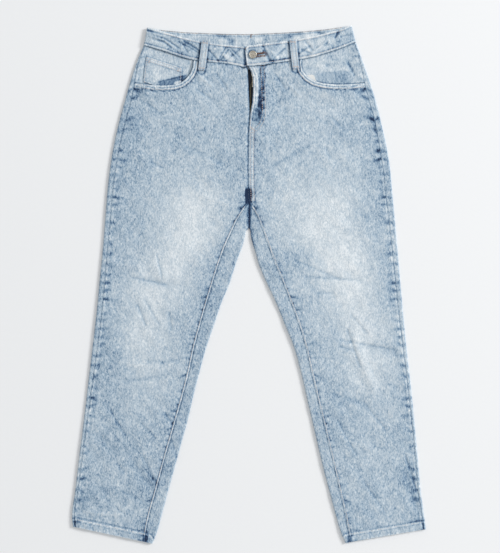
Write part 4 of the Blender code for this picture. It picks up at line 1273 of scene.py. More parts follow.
def solid_mesh(name: str, points: Array, faces: Sequence[Sequence[int]], sharp: float = 40.0) -> bpy.types.Mesh:
    """A closed mesh with its faces outwards.

    Args:
        name: The mesh's name.
        points: Its points in table millimetres.
        faces: Its faces, which all turn the same way.
        sharp: Angle in degrees past which an edge stays sharp.

    Returns:
        The mesh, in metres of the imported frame.
    """
    mesh = bpy.data.meshes.new(name)
    mesh.from_pydata(to_frame(points).tolist(), [], [list(map(int, item)) for item in faces])
    places = np.empty(len(mesh.vertices) * 3)
    mesh.vertices.foreach_get("co", places)
    places = places.reshape(-1, 3)
    mesh.calc_loop_triangles()
    corners = np.empty(len(mesh.loop_triangles) * 3, int)
    mesh.loop_triangles.foreach_get("vertices", corners)
    a, b, c = places[corners.reshape(-1, 3)].transpose(1, 0, 2)
    if np.einsum("ij,ij->", a, np.cross(b, c)) < 0.0:
        mesh.flip_normals()
    mesh.shade_smooth()
    mesh.set_sharp_from_angle(angle=math.radians(sharp))
    return mesh


@dataclass(frozen=True)
class Cut:
    """The size that a piece of cloth was cut to, in metres, and its area in square metres."""

    width: float
    length: float
    area: float


@dataclass
class Cloth:
    """A cloth wall: matching outer and inner points, faces on both and a rim round every open edge."""

    name: str
    outer: list[Array] = field(default_factory=list)
    inner: list[Array] = field(default_factory=list)
    fields: list[dict[str, Array]] = field(default_factory=list)
    quads: list[Array] = field(default_factory=list)
    count: int = 0
    wrong_side: float = 1.0

    def add(self, points: Array, normals: Array, thickness: Array, fields: dict[str, Array]) -> Array:
        """Adds a block of points.

        Args:
            points: The outer points, in rows and columns.
            normals: The way out at each.
            thickness: The wall's thickness at each.
            fields: The wash at each.

        Returns:
            The points' numbers, in the same rows and columns.
        """
        shape = points.shape[:2]
        depth = np.broadcast_to(thickness, shape)[..., None]
        self.outer.append(points.reshape(-1, 3))
        self.inner.append((points - depth * normals).reshape(-1, 3))
        self.fields.append({key: np.broadcast_to(value, shape).reshape(-1) for key, value in fields.items()})
        numbers = np.arange(self.count, self.count + shape[0] * shape[1]).reshape(shape)
        self.count += numbers.size
        return numbers

    def join(self, numbers: Array, skip: Union[Array, None] = None) -> None:
        """Covers rows and columns of points with faces, apart from the cells marked in skip."""
        cells = np.stack([numbers[:-1, :-1], numbers[:-1, 1:], numbers[1:, 1:], numbers[1:, :-1]], axis=-1)
        if skip is not None:
            cells = cells[~skip]
        self.quads.append(cells.reshape(-1, 4))

    def area(self) -> float:
        """Area of the outer face, in square metres."""
        points = np.concatenate(self.outer) * MM
        a, b, c, d = points[np.concatenate(self.quads)].transpose(1, 0, 2)
        return 0.5 * float(np.linalg.norm(np.cross(c - a, d - b), axis=1).sum())

    def build(self, material: bpy.types.Material) -> bpy.types.Object:
        """Makes the closed shell, with its wash held by its points."""
        quads = np.concatenate(self.quads)
        total = self.count
        starts = quads.reshape(-1)
        ends = quads[:, (1, 2, 3, 0)].reshape(-1)
        lone = ~np.isin(starts * total + ends, ends * total + starts)
        a, b = starts[lone], ends[lone]
        rims = np.stack([b, a, total + a, total + b], axis=-1)
        faces = np.concatenate([quads, total + quads[:, ::-1], rims])
        points = np.concatenate(self.outer + self.inner)
        mesh = solid_mesh(self.name, points, faces.tolist())
        for key in self.fields[0]:
            values = np.concatenate([block[key] for block in self.fields])
            hidden = (1.0 - 0.5 * self.wrong_side) * values
            if key == "inside":
                hidden = np.full_like(values, self.wrong_side)
            layer = mesh.attributes.new(key, "FLOAT", "POINT")
            layer.data.foreach_set("value", np.concatenate([values, hidden]).astype(np.float32))
        return link_mesh(self.name, mesh, material)


@dataclass
class Outfit:
    """Takes in finished pieces: makes them ride and stand for their solids."""

    made: list[str] = field(default_factory=list)

    def take(self, piece: bpy.types.Object, slot: str, *nodes: str) -> bpy.types.Object:
        """Makes a piece ride on the garment's one body.

        Args:
            piece: The finished piece.
            slot: The record's material slot; not used.
            nodes: The solids that it stands for.

        Returns:
            The piece.
        """
        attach(piece, "root")
        if nodes:
            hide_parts(*nodes)
        self.made.append(piece.name)
        log.info("%s: %d faces", piece.name, len(piece.data.polygons))
        return piece

    def cloth(
        self, cloth: Cloth, finish: bpy.types.Material, slot: str, node: str, cut: Cut, under: Sequence[str]
    ) -> None:
        """Builds a sheet of cloth in place of its solid.

        Args:
            cloth: The wall to build.
            finish: Its material.
            slot: The record's material slot; not used.
            node: The solid that it stands for.
            cut: The size that it was cut to; not used.
            under: What it lies on; not used.
        """
        log.info("%s: outer face %.4f square metres", cloth.name, cloth.area())
        piece = self.take(cloth.build(finish), slot, node)


def columns(count: int, crowd: float = 0.45) -> Array:
    """Fractions from 0 to 1 that stand closer together near both ends."""
    plain = np.linspace(0.0, 1.0, count)
    return (1.0 - crowd) * plain + crowd * 0.5 * (1.0 - np.cos(math.pi * plain))


def upwards(shape: tuple[int, ...], way: float = 1.0) -> Array:
    """Normals that point up, or down where way is -1."""
    normals = np.zeros((*shape, 3))
    normals[..., 2] = way
    return normals


@dataclass
class Leg:
    """One half of the garment below the waistband: its front, its back and its yoke."""

    half: Half
    wash: Wash
    front_cut: Cut = Cut(0.275, 0.93, 0.186)
    back_cut: Cut = Cut(0.34, 0.92, 0.23)
    yoke_cut: Cut = Cut(0.235, 0.088, 0.0155)
    step: float = 2.7
    front_columns: int = 110
    seam_columns: int = 4
    inner_columns: int = 9
    bottom_columns: int = 44
    fold_turns: int = 9
    hem_height: float = 16.0
    hem_edge: float = 1.2
    hem_proud: float = 0.5
    hem_wall: float = 2.2
    hollow: Crumple = Crumple(31, 26.0, 90.0)

    def leg_rows(self) -> tuple[Array, Array]:
        """Rows from the crotch to the hem.

        Returns:
            The fraction of the leg's length at each, and 1 where the row is in the hem.
        """
        length = CROTCH_FOLD_Y - self.half.hem_fold_y
        hem = self.hem_height / length
        plain = np.linspace(0.0, 1.0 - hem - self.hem_edge / length, round((length - self.hem_height) / self.step))
        inside = np.linspace(1.0 - hem, 1.0, 8)
        return np.concatenate([plain, inside]), np.concatenate([np.zeros(len(plain)), np.ones(len(inside))])

    def row_ends(self, fraction: Array) -> tuple[Array, Array]:
        """Outer y and inner fold y of rows below the crotch."""
        outer = CROTCH_OUTER_Y + fraction * (self.half.hem_outer_y - CROTCH_OUTER_Y)
        inner = CROTCH_FOLD_Y + fraction * (self.half.hem_fold_y - CROTCH_FOLD_Y)
        return outer, inner

    def front_ends(self) -> Array:
        """Both ends of each of the front's rows.

        Returns:
            Rows of outer x, outer y, inner x, inner y and hem weight.
        """
        half = self.half
        rows = half.mouth_rows
        spots = np.linspace(0.0, len(rows) - 1.0, 56)[:-1]
        numbers = range(len(rows))
        mouth_x, mouth_y, middle = (curve(numbers, [row[k] for row in rows])(spots) for k in range(3))
        parts = [np.stack([mouth_x, mouth_y, half.centre(middle), middle, np.zeros_like(middle)], axis=-1)]
        row_count = round((LOWEST_MOUTH_Y - CROTCH_OUTER_Y) / self.step)
        outer = np.linspace(LOWEST_MOUTH_Y, CROTCH_OUTER_Y, row_count)[:-1]
        fall = (rows[-1].centre_y - JUNCTION_Y) / (LOWEST_MOUTH_Y - CROTCH_OUTER_Y)
        middle = JUNCTION_Y + (outer - CROTCH_OUTER_Y) * fall
        seam = half.outseam(outer) - half.sign * SEAM
        parts.append(np.stack([seam, outer, half.centre(middle), middle, np.zeros_like(middle)], axis=-1))
        fraction, hem = self.leg_rows()
        outer, inner = self.row_ends(fraction)
        seam = half.outseam(outer) - half.sign * SEAM
        inseam = half.inseam_x(inner) + half.sign * SLANT_SEAM
        parts.append(np.stack([seam, outer, inseam, half.inseam_y(inner), hem], axis=-1))
        return np.concatenate(parts)

    def seam_relief(self, x: Array, y: Array, fields: dict[str, Array], hem: Array) -> Array:
        """Height that seams, rims and gathers add to the front."""
        rim = distance_to(self.half.mouth, x, y)
        edge = distance_to(self.half.hem, x, y)
        height = 0.35 * bell(rim - 3.5, 3.6) - 0.25 * bell(rim - 9.5, 1.6)
        height = height - 0.5 * np.clip(fields["mark"], 0.0, 1.0) + 0.25 * np.clip(fields["white"], 0.0, 1.0)
        return height + hem * (0.15 * np.sin(x / 2.6 + edge / 5.0) - 0.5 * bell(edge - 14.4, 1.2))

    def build_front(self) -> Cloth:
        """The front: from the waistband and the pocket's mouth down to the hem."""
        ends = self.front_ends()
        t = columns(self.front_columns)
        x = ends[:, 0:1] + t * (ends[:, 2:3] - ends[:, 0:1])
        y = ends[:, 1:2] + t * (ends[:, 3:4] - ends[:, 1:2])
        spots = np.arange(len(ends))[:, None] * (len(self.half.mouth_rows) - 1.0) / 55.0
        first = y[0] + 0.0
        y = y + np.clip(1.0 - spots, 0.0, 1.0) * (self.half.band_low(x) - 2 * GAP - first)
        hem = ends[:, 4:5]
        fields = self.wash.leg(self.half, x, y, Panel.FRONT)
        z = self.half.top(x, y) + hem * self.hem_proud + self.seam_relief(x, y, fields, hem)
        cloth = Cloth("front_" + self.half.word + "_cloth")
        thickness = DENIM + hem * (self.hem_wall - DENIM)
        cloth.join(cloth.add(np.stack([x, y, z], axis=-1), upwards(x.shape), thickness, fields))
        return cloth

    def outer_side(self, y: Array) -> tuple[Array, Array]:
        """The stretch from the outseam round the outer fold.

        Args:
            y: Height of each row.

        Returns:
            Points and normals, with a column for each place round the fold.
        """
        half = self.half
        seam = half.outseam(y) + half.sign * SEAM
        reach = np.maximum(0.6, np.abs(half.fold(y) - seam))
        radius = 0.5 * half.top(seam, y)
        flat = np.maximum(0.3, reach - radius)
        turns = np.linspace(0.0, math.pi, self.fold_turns)
        points, normals = [], []
        for u in np.linspace(0.0, 1.0, self.seam_columns + 1)[:-1]:
            x = seam + half.sign * flat * u
            points.append(np.stack([x, y, half.top(x, y)], axis=-1))
            normals.append(upwards(x.shape))
        start = seam + half.sign * flat
        radius = 0.5 * half.top(start, y)
        for turn in turns:
            x = start + half.sign * (reach - flat) * math.sin(turn)
            points.append(np.stack([x, y, radius * (1.0 + math.cos(turn))], axis=-1))
            way = np.array([half.sign * math.sin(turn), 0.0, math.cos(turn)])
            normals.append(np.broadcast_to(way, (*x.shape, 3)))
        return np.stack(points, axis=1), np.stack(normals, axis=1)

    def underside(self, start: Array, end: Array, close: bool) -> tuple[Array, Array]:
        """The stretch that lies on the ground.

        Args:
            start: The last point of the outer fold on each row.
            end: Where each row ends.
            close: Whether the last point belongs to it.

        Returns:
            Points and normals.
        """
        t = columns(self.bottom_columns + 2)[1:]
        t = t if close else t[:-1]
        x = start[:, 0:1] + t * (end[:, 0:1] - start[:, 0:1])
        y = start[:, 1:2] + t * (end[:, 1:2] - start[:, 1:2])
        calm = ease(4.0 * t) * ease(4.0 * (1.0 - t) + (1.0 if close else 0.0))
        z = self.half.lift(x, y) + calm * 0.5 * np.maximum(0.0, self.hollow.at(x, y) - 0.1)
        return np.stack([x, y, z], axis=-1), upwards(x.shape, -1.0)

    def inner_side(self, fold_y: Array) -> tuple[Array, Array, Array]:
        """The stretch from the underside round the inner fold to the inseam.

        Args:
            fold_y: Height of the fold on each row.

        Returns:
            Points, normals and the point where the underside meets it.
        """
        half = self.half
        step = 4.0
        slope = (half.inner_fold(fold_y + step) - half.inner_fold(fold_y - step)) / (2 * step)
        length = np.hypot(1.0, slope)
        out_x, out_y = -half.sign / length, half.sign * slope / length
        top_row = fold_y > CROTCH_FOLD_Y - 1.0
        out_x, out_y = np.where(top_row, 0.0, out_x), np.where(top_row, -1.0, out_y)
        fold_x = half.inner_fold(fold_y)
        fold_x = np.where(np.abs(fold_x) < SEAM, half.sign * SEAM, fold_x)
        seam_x = half.inseam_x(fold_y) - half.sign * SLANT_SEAM
        seam_x = half.sign * np.maximum(SEAM, seam_x * half.sign)
        seam_y = half.inseam_y(fold_y)
        radius = 0.5 * half.top(fold_x, fold_y)
        points, normals = [], []
        for turn in np.linspace(math.pi, 0.0, self.fold_turns):
            reach = radius * (math.sin(turn) - 1.0)
            x, y = fold_x + out_x * reach, fold_y + out_y * reach
            points.append(np.stack([x, y, radius * (1.0 + math.cos(turn))], axis=-1))
            lean = math.sin(turn)
            normals.append(np.stack([out_x * lean, out_y * lean, np.full_like(x, math.cos(turn))], axis=-1))
        last_x, last_y = fold_x - out_x * radius, fold_y - out_y * radius
        for t in np.linspace(0.0, 1.0, self.inner_columns + 1)[1:]:
            x, y = last_x + t * (seam_x - last_x), last_y + t * (seam_y - last_y)
            z = half.top(x, y)
            z = 2 * radius + (z - 2 * radius) * ease(3.0 * t)
            points.append(np.stack([x, y, z], axis=-1))
            normals.append(upwards(x.shape))
        meet = np.stack([fold_x - out_x * radius, fold_y - out_y * radius], axis=-1)
        return np.stack(points, axis=1), np.stack(normals, axis=1), meet

    def build_back(self) -> Cloth:
        """The back: from the yoke to the hem, round both folds of the leg to the seams on top."""
        half = self.half
        cloth = Cloth("back_" + half.word + "_cloth")
        row_count = round((YOKE_OUTER_Y - CROTCH_OUTER_Y) / self.step)
        outer = np.linspace(YOKE_OUTER_Y - 2 * SEAM, CROTCH_OUTER_Y + 1.5, row_count)
        fall = (YOKE_CENTRE_Y - CROTCH_FOLD_Y) / (YOKE_OUTER_Y - CROTCH_OUTER_Y)
        centre = CROTCH_FOLD_Y + (outer - CROTCH_OUTER_Y) * fall
        side, side_out = self.outer_side(outer)
        end = np.stack([np.full_like(outer, half.sign * SEAM), centre], axis=-1)
        flat, flat_out = self.underside(side[:, -1], end, True)
        seat = self.lay(cloth, np.concatenate([side, flat], axis=1), np.concatenate([side_out, flat_out], axis=1), DENIM)
        fraction, hem = self.leg_rows()
        outer, inner = self.row_ends(fraction)
        side, side_out = self.outer_side(outer)
        fold, fold_out, meet = self.inner_side(inner)
        flat, flat_out = self.underside(side[:, -1], meet, False)
        points = np.concatenate([side, flat, fold], axis=1)
        normals = np.concatenate([side_out, flat_out, fold_out], axis=1)
        points[..., 2] += hem[:, None] * self.hem_proud * np.clip(normals[..., 2] + 0.2, 0.0, 1.0)
        thickness = DENIM + hem[:, None] * (self.hem_wall - DENIM)
        legs = self.lay(cloth, points, normals, thickness)
        shared = seat.shape[1]
        cloth.join(seat)
        cloth.join(np.stack([seat[-1], legs[0, :shared]]))
        cloth.join(legs)
        return cloth

    def lay(self, cloth: Cloth, points: Array, normals: Array, thickness: Union[Array, float]) -> Array:
        """Adds a block of the back or the yoke with its wash."""
        fields = self.wash.leg(self.half, points[..., 0], points[..., 1], Panel.BACK)
        sunk = 0.3 * np.clip(fields["mark"], 0.0, 1.0) * np.clip(normals[..., 2], 0.0, 1.0)
        points = points - sunk[..., None] * normals
        return cloth.add(points, normals, thickness, fields)

    def build_yoke(self) -> Cloth:
        """The pointed piece between the back's top edge and the waistband."""
        half = self.half
        cloth = Cloth("yoke_" + half.word + "_cloth")
        t = np.linspace(0.0, 1.0, 26)
        outer = half.top_y - 2 * GAP + t * (YOKE_OUTER_Y - half.top_y + 2 * GAP)
        side, side_out = self.outer_side(outer)
        low = np.full_like(t, YOKE_CENTRE_Y)
        end = np.stack([np.full_like(outer, half.sign * SEAM), low], axis=-1)
        flat, flat_out = self.underside(side[:, -1], end, True)
        x = flat[..., 0]
        share = (x - side[:, -1:, 0]) / (end[:, None, 0] - side[:, -1:, 0])
        bottom = YOKE_OUTER_Y + share * (YOKE_CENTRE_Y - YOKE_OUTER_Y)
        upper = half.back_low(x) - 2 * GAP
        flat[..., 1] = upper + t[:, None] * (bottom - upper)
        points = np.concatenate([side, flat], axis=1)
        cloth.join(self.lay(cloth, points, np.concatenate([side_out, flat_out], axis=1), DENIM))
        return cloth

    def build(self, outfit: Outfit, wardrobe: Wardrobe) -> None:
        """Builds the front, the back and the yoke."""
        word = self.half.word
        back = "back_" + word
        outfit.cloth(self.build_back(), wardrobe.denim, "denim", back, self.back_cut, ["back_pocket_" + word])
        outfit.cloth(self.build_yoke(), wardrobe.denim, "denim", "yoke_" + word, self.yoke_cut, [back])
        outfit.cloth(self.build_front(), wardrobe.denim, "denim", "front_" + word, self.front_cut, [back])


@dataclass
class FrontPocket:
    """What shows in the mouth of a front pocket."""

    half: Half
    wash: Wash
    facing_cut: Cut = Cut(0.125, 0.085, 0.0074)
    coin_cut: Cut = Cut(0.076, 0.053, 0.0031)
    bag_cut: Cut = Cut(0.06, 0.016, 0.0006)
    tuck: float = 12.0
    tuck_start: float = 18.0
    tuck_fade: float = 15.0
    side_rows: tuple[float, ...] = (443.0, 429.0, 415.0, 400.0, 389.7)
    bag_reach: float = 8.0
    bag_tuck: float = 9.0
    bag_ends: Point = (0.12, 0.46)
    bag_middle: float = 0.3

    def facing_grid(self, rows: int, across: int) -> tuple[Array, Array]:
        """Places of the facing's points, from its outer edge to where it is tucked under the front."""
        half = self.half
        corner = (float(half.outseam(half.top_y - 2 * GAP)) - half.sign * SEAM, half.top_y - 2 * GAP)
        top_x = np.linspace(half.mouth[0][0], corner[0], 6)
        outer = [(x, float(half.band_low(x)) - 2 * GAP) for x in top_x[:-1]] + [corner]
        outer += [(float(half.outseam(y)) - half.sign * SEAM, y) for y in self.side_rows]
        t = np.linspace(0.0, 1.0, rows)
        knots = np.linspace(0.0, 1.0, len(outer))
        start = np.stack([np.interp(t, knots, [p[k] for p in outer]) for k in (0, 1)], axis=-1)
        end = along(half.mouth, t)
        reach = self.tuck * ease((half.sign * (half.outseam(end[:, 1]) - end[:, 0]) - self.tuck_start) / self.tuck_fade)
        run = np.gradient(end, axis=0)
        away = half.sign * np.stack([run[:, 1], -run[:, 0]], axis=-1) / np.hypot(run[:, 0], run[:, 1])[:, None]
        away[0] = (-half.sign, 0.0)
        target = end + away * (reach - 2 * GAP)[:, None]
        target[0, 1] = float(half.band_low(target[0, 0])) - 2 * GAP
        s = np.linspace(0.0, 1.0, across)
        x = start[:, 0:1] + s * (target[:, 0:1] - start[:, 0:1])
        y = start[:, 1:2] + s * (target[:, 1:2] - start[:, 1:2])
        return x, y

    def gape_shade(self, x: Array, y: Array) -> Array:
        """Painted shade in the opening between the coin pocket and the rim of the mouth."""
        edge = np.interp(x, (-176.0, -120.0), (388.5, 402.0))
        inside = ease((x + 178.0) / 8.0) * ease((-117.0 - x) / 6.0) * (1.0 - self.worn_corner(x, y))
        return (ease((edge - y) / 2.5) + 0.5 * bell(edge - y - 1.5, 2.0)) * inside

    def worn_corner(self, x: Array, y: Array) -> Array:
        """How much of the white cloth shows where the rim turns."""
        return ease((10.0 - np.hypot(x + 135.0, 1.3 * (y - 383.0))) / 4.0)

    def build_facing(self) -> Cloth:
        """The facing, with painted shade where the pocket opens behind the rim, under the rim and round the coin
        pocket.
        """
        x, y = self.facing_grid(110, 58)
        half = self.half
        fields = self.wash.leg(half, x, y, Panel.FACING)
        rim = distance_to(half.mouth, x, y)
        # Painted shade on the facing under the rim of the mouth.
        fields["mark"] = fields["mark"] + 0.9 * bell(rim, 1.6)
        if half.side is Side.RIGHT:
            outline = list(COIN_LOW[::-1]) + [COIN_MIDDLE[0]] + list(COIN_TOP) + [COIN_MIDDLE[-1], COIN_LOW[-1]]
            # Painted shade round the coin pocket and in the pocket's opening behind the rim.
            fields["mark"] = fields["mark"] + 0.8 * bell(distance_to(outline, x, y), 1.2) + 0.9 * self.gape_shade(x, y)
            fields["white"] = fields["white"] + 0.9 * self.worn_corner(x, y)
            fields["fade"] = fields["fade"] + 0.5
        else:
            below = ease((409.0 + 0.06 * (x - 160.0) - y) / 5.0)
            fields["mark"] = fields["mark"] + 0.4 * below * ease((38.0 - np.abs(x - 160.0)) / 12.0)
            fields["white"] = fields["white"] + 0.4 * bell(y - 416.0 + 0.004 * (x - 150.0) ** 2, 5.0)
            fields["fade"] = fields["fade"] + 0.3
        # Crease troughs of the facing are darker: painted shade.
        folds = fold_heights(FACING_CREASES, x, y)
        fields["mark"] = fields["mark"] + 1.2 * np.clip(-folds, 0.0, 1.0)
        fields["mark"] = fields["mark"] + 0.55 * self.wash.band_marks.at(x, half.band_low(x) - y)
        # Painted shade under the waistband's lower edge.
        fields["mark"] = fields["mark"] + 0.5 * bell(half.band_low(x) - y, 1.8)
        cloth = Cloth("pocket_facing_" + half.word + "_cloth")
        z = half.facing_top(x, y)
        cloth.join(cloth.add(np.stack([x, y, z], axis=-1), upwards(x.shape), DENIM, fields))
        return cloth

    def build_coin_pocket(self) -> Cloth:
        """The small patch pocket on the facing."""
        s = np.linspace(0.0, 1.0, 60)
        lines = np.stack([along(line, s) for line in (COIN_TOP, COIN_MIDDLE, COIN_LOW)])
        t = np.linspace(0.0, 2.0, 50)
        x = np.stack([np.interp(t, (0.0, 1.0, 2.0), lines[:, k, 0]) for k in range(len(s))], axis=-1)
        y = np.stack([np.interp(t, (0.0, 1.0, 2.0), lines[:, k, 1]) for k in range(len(s))], axis=-1)
        outline = list(COIN_LOW[::-1]) + [COIN_MIDDLE[0]] + list(COIN_TOP) + [COIN_MIDDLE[-1], COIN_LOW[-1]]
        rim = distance_to(outline, x, y)
        fields = self.wash.plain(x, y, rim, 0.55)
        hem = distance_to(COIN_TOP, x, y)
        # A dark line across the hem, painted shade along the pocket's edge and in the opening behind the rim.
        fields["mark"] = fields["mark"] + 0.5 * bell(hem - 9.6, 1.0) + 0.8 * bell(rim, 0.9) + 0.9 * self.gape_shade(x, y)
        fields["white"] = fields["white"] + 0.9 * self.worn_corner(x, y)
        for corner in (COIN_TOP[0], COIN_TOP[-1]):
            away = np.maximum(np.abs(x - corner[0]), np.abs(y - corner[1]))
            fields["mark"] = fields["mark"] + 0.6 * bell(away - 7.6, 0.9)
        fields["white"] = fields["white"] + 0.5 * bell(hem - 5.0, 2.0)
        z = self.half.facing_top(x, y) + LAYER - 0.25 * bell(rim, 1.2) + 0.2 * bell(hem - 5.0, 3.0)
        cloth = Cloth("coin_pocket_cloth")
        cloth.join(cloth.add(np.stack([x, y, z], axis=-1), upwards(x.shape), DENIM, fields))
        return cloth

    def build_bag(self) -> Cloth:
        """The edge of the cotton bag at the bend of the mouth."""
        half = self.half
        count = 28
        middle = along(half.mouth, np.linspace(*self.bag_ends, count))
        run = np.gradient(middle, axis=0)
        away = half.sign * np.stack([run[:, 1], -run[:, 0]], axis=-1) / np.hypot(run[:, 0], run[:, 1])[:, None]
        shown = np.linspace(*self.bag_ends, count)[:, None]
        width = 1.3 * bell(shown - self.bag_middle, 0.07) - 0.3
        reach = np.linspace(0.0, 1.0, 10) * (self.bag_reach * width + self.bag_tuck) - self.bag_reach * width
        x = middle[:, 0:1] + away[:, 0:1] * reach
        y = middle[:, 1:2] + away[:, 1:2] * reach
        z = half.facing_top(x, y) + LAYER + 0.15 * np.sin(y / 2.4)
        cloth = Cloth("pocket_bag_" + half.word + "_cloth")
        fields = {key: np.zeros_like(x) for key in ("fade", "white", "mark", "inside")}
        cloth.join(cloth.add(np.stack([x, y, z], axis=-1), upwards(x.shape), DENIM, fields))
        return cloth

    def build(self, outfit: Outfit, wardrobe: Wardrobe) -> None:
        """Builds the facing, and the coin pocket or the bag's edge."""
        word = self.half.word
        name = "pocket_facing_" + word
        outfit.cloth(self.build_facing(), wardrobe.denim, "denim", name, self.facing_cut, ["back_" + word])
        if self.half.side is Side.RIGHT:
            outfit.cloth(self.build_coin_pocket(), wardrobe.denim, "denim", "coin_pocket", self.coin_cut, [name])
        else:
            bag = "pocket_bag_" + word
            outfit.cloth(self.build_bag(), wardrobe.cotton, "pocket_cotton", bag, self.bag_cut, [name])


@dataclass
class Waistband:
    """One strip: the underlap, round the back, and on to the overlap with its buttonhole."""

    wash: Wash
    cut: Cut = Cut(0.83, 0.038, 0.0305)
    wall: float = 2.4
    top: float = 7.0
    back: float = LAYER
    overlap: float = 2.7
    ramp: Point = (40.0, 82.0)
    slot_ends: Point = (5.0, 29.0)
    slot_middle: float = 0.46
    slot_half: float = 0.045
    step: float = 1.6
    corner: float = 7.0
    fold_turns: int = 9
    crumple: Crumple = Crumple(41, 16.0, 50.0)

    def spread_rows(self, rows: Sequence[BandRow]) -> Array:
        """Lines across the waistband about a step apart, through the given ones."""
        knots = np.asarray(rows, float)
        steps = np.concatenate([[0.0], np.cumsum(np.hypot(*np.diff(knots[:, 2:], axis=0).T))])
        places = np.union1d(np.linspace(0.0, steps[-1], round(steps[-1] / self.step) + 1), steps)
        return np.stack([np.interp(places, steps, knots[:, k]) for k in range(4)], axis=-1)

    def fold_rows(self, fold: tuple[Point, Point], sign: int) -> tuple[Array, Array, Array]:
        """Lines round one side fold, from the front to the back.

        Args:
            fold: Top and low ends of the fold.
            sign: Which side.

        Returns:
            The lines, the height of each and its normal.
        """
        radius = 0.5 * (self.top - self.back)
        turns = np.linspace(0.0, math.pi, self.fold_turns)
        shift = sign * radius * (np.sin(turns) - 1.0)
        top, low = fold
        high_y, low_y = np.full_like(turns, top[1]), np.full_like(turns, low[1])
        lines = np.stack([top[0] + shift, high_y, low[0] + shift, low_y], axis=-1)
        normals = np.stack([sign * np.sin(turns), np.zeros_like(turns), np.cos(turns)], axis=-1)
        return lines, self.back + radius * (1.0 + np.cos(turns)), normals

    def front_height(self, x: Array) -> Array:
        """Height of the outer face of the overlapping front."""
        return self.top + self.overlap * ease((self.ramp[1] - x) / (self.ramp[1] - self.ramp[0]))

    def build_band(self) -> Cloth:
        """The whole strip."""
        right = self.spread_rows(BAND_FRONT_RIGHT)[::-1]
        left = self.spread_rows(BAND_FRONT_LEFT)[::-1]
        back = self.spread_rows(BAND_BACK)
        fold_right, fold_right_z, fold_right_out = self.fold_rows(BAND_FOLD_RIGHT, -1)
        fold_left, fold_left_z, fold_left_out = self.fold_rows(BAND_FOLD_LEFT, 1)
        short = self.corner - np.clip(left[:, 0] - left[:, 0].min(), 0.0, self.corner)
        left[:, 1] -= self.corner - np.sqrt(self.corner**2 - short**2)
        lines = np.concatenate([right, fold_right, back, fold_left[::-1], left])
        heights = np.concatenate(
            [
                np.full(len(right), self.top),
                fold_right_z,
                np.full(len(back), self.back),
                fold_left_z[::-1],
                self.front_height(left[:, 0]),
            ]
        )
        right_out, back_out, left_out = upwards((len(right),)), upwards((len(back),), -1.0), upwards((len(left),))
        out = np.concatenate([right_out, fold_right_out, back_out, fold_left_out[::-1], left_out])
        low, high = self.slot_middle - self.slot_half, self.slot_middle + self.slot_half
        v = np.concatenate([np.linspace(0.0, low, 15), np.linspace(low, high, 5)[1:], np.linspace(high, 1.0, 18)[1:]])
        x = lines[:, 0:1] + v * (lines[:, 2:3] - lines[:, 0:1])
        y = lines[:, 1:2] + v * (lines[:, 3:4] - lines[:, 1:2])
        facing_up = np.clip(out[:, 2:3], 0.0, 1.0)
        behind = np.clip(-out[:, 2:3], 0.0, 1.0)
        folds = fold_heights(BAND_CREASES, x, y) * facing_up + fold_heights(BACK_BAND_CREASES, x, y) * behind
        over = np.where(np.arange(len(lines)) >= len(lines) - len(left), 1.0, 0.0)[:, None]
        fields = self.wash.band(x, y, v, folds, over, np.where(out[:, 2:3] > 0.5, 1.0, 0.0))
        calm = ease(4.0 * (facing_up + behind) - 3.0)
        small = folds + 0.16 * self.crumple.at(x, y) - 0.35 * np.clip(fields["mark"], 0.0, 1.0)
        small = small - 0.5 * (bell(v, 0.05) + bell(v - 1.0, 0.05))
        normals = np.broadcast_to(out[:, None, :], (*x.shape, 3))
        z = np.broadcast_to(heights[:, None], x.shape) + calm * facing_up * small
        thickness = self.wall + calm * (behind * small + facing_up * small)
        cloth = Cloth("waistband_cloth", wrong_side=0.0)
        numbers = cloth.add(np.stack([x, y, z], axis=-1), normals, thickness, fields)
        first = len(lines) - len(left)
        between = 0.5 * (lines[:-1, 0] + lines[1:, 0])
        rows = (np.arange(len(lines) - 1) >= first) & (between > self.slot_ends[0]) & (between < self.slot_ends[1])
        middle = 0.5 * (v[:-1] + v[1:])
        cloth.join(numbers, rows[:, None] & (np.abs(middle - self.slot_middle) < self.slot_half)[None, :])
        return cloth

    def build(self, outfit: Outfit, wardrobe: Wardrobe) -> None:
        """Builds the waistband."""
        under = ["back_right", "back_left", "front_right", "front_left"]
        outfit.cloth(self.build_band(), wardrobe.denim, "denim", "waistband", self.cut, under)


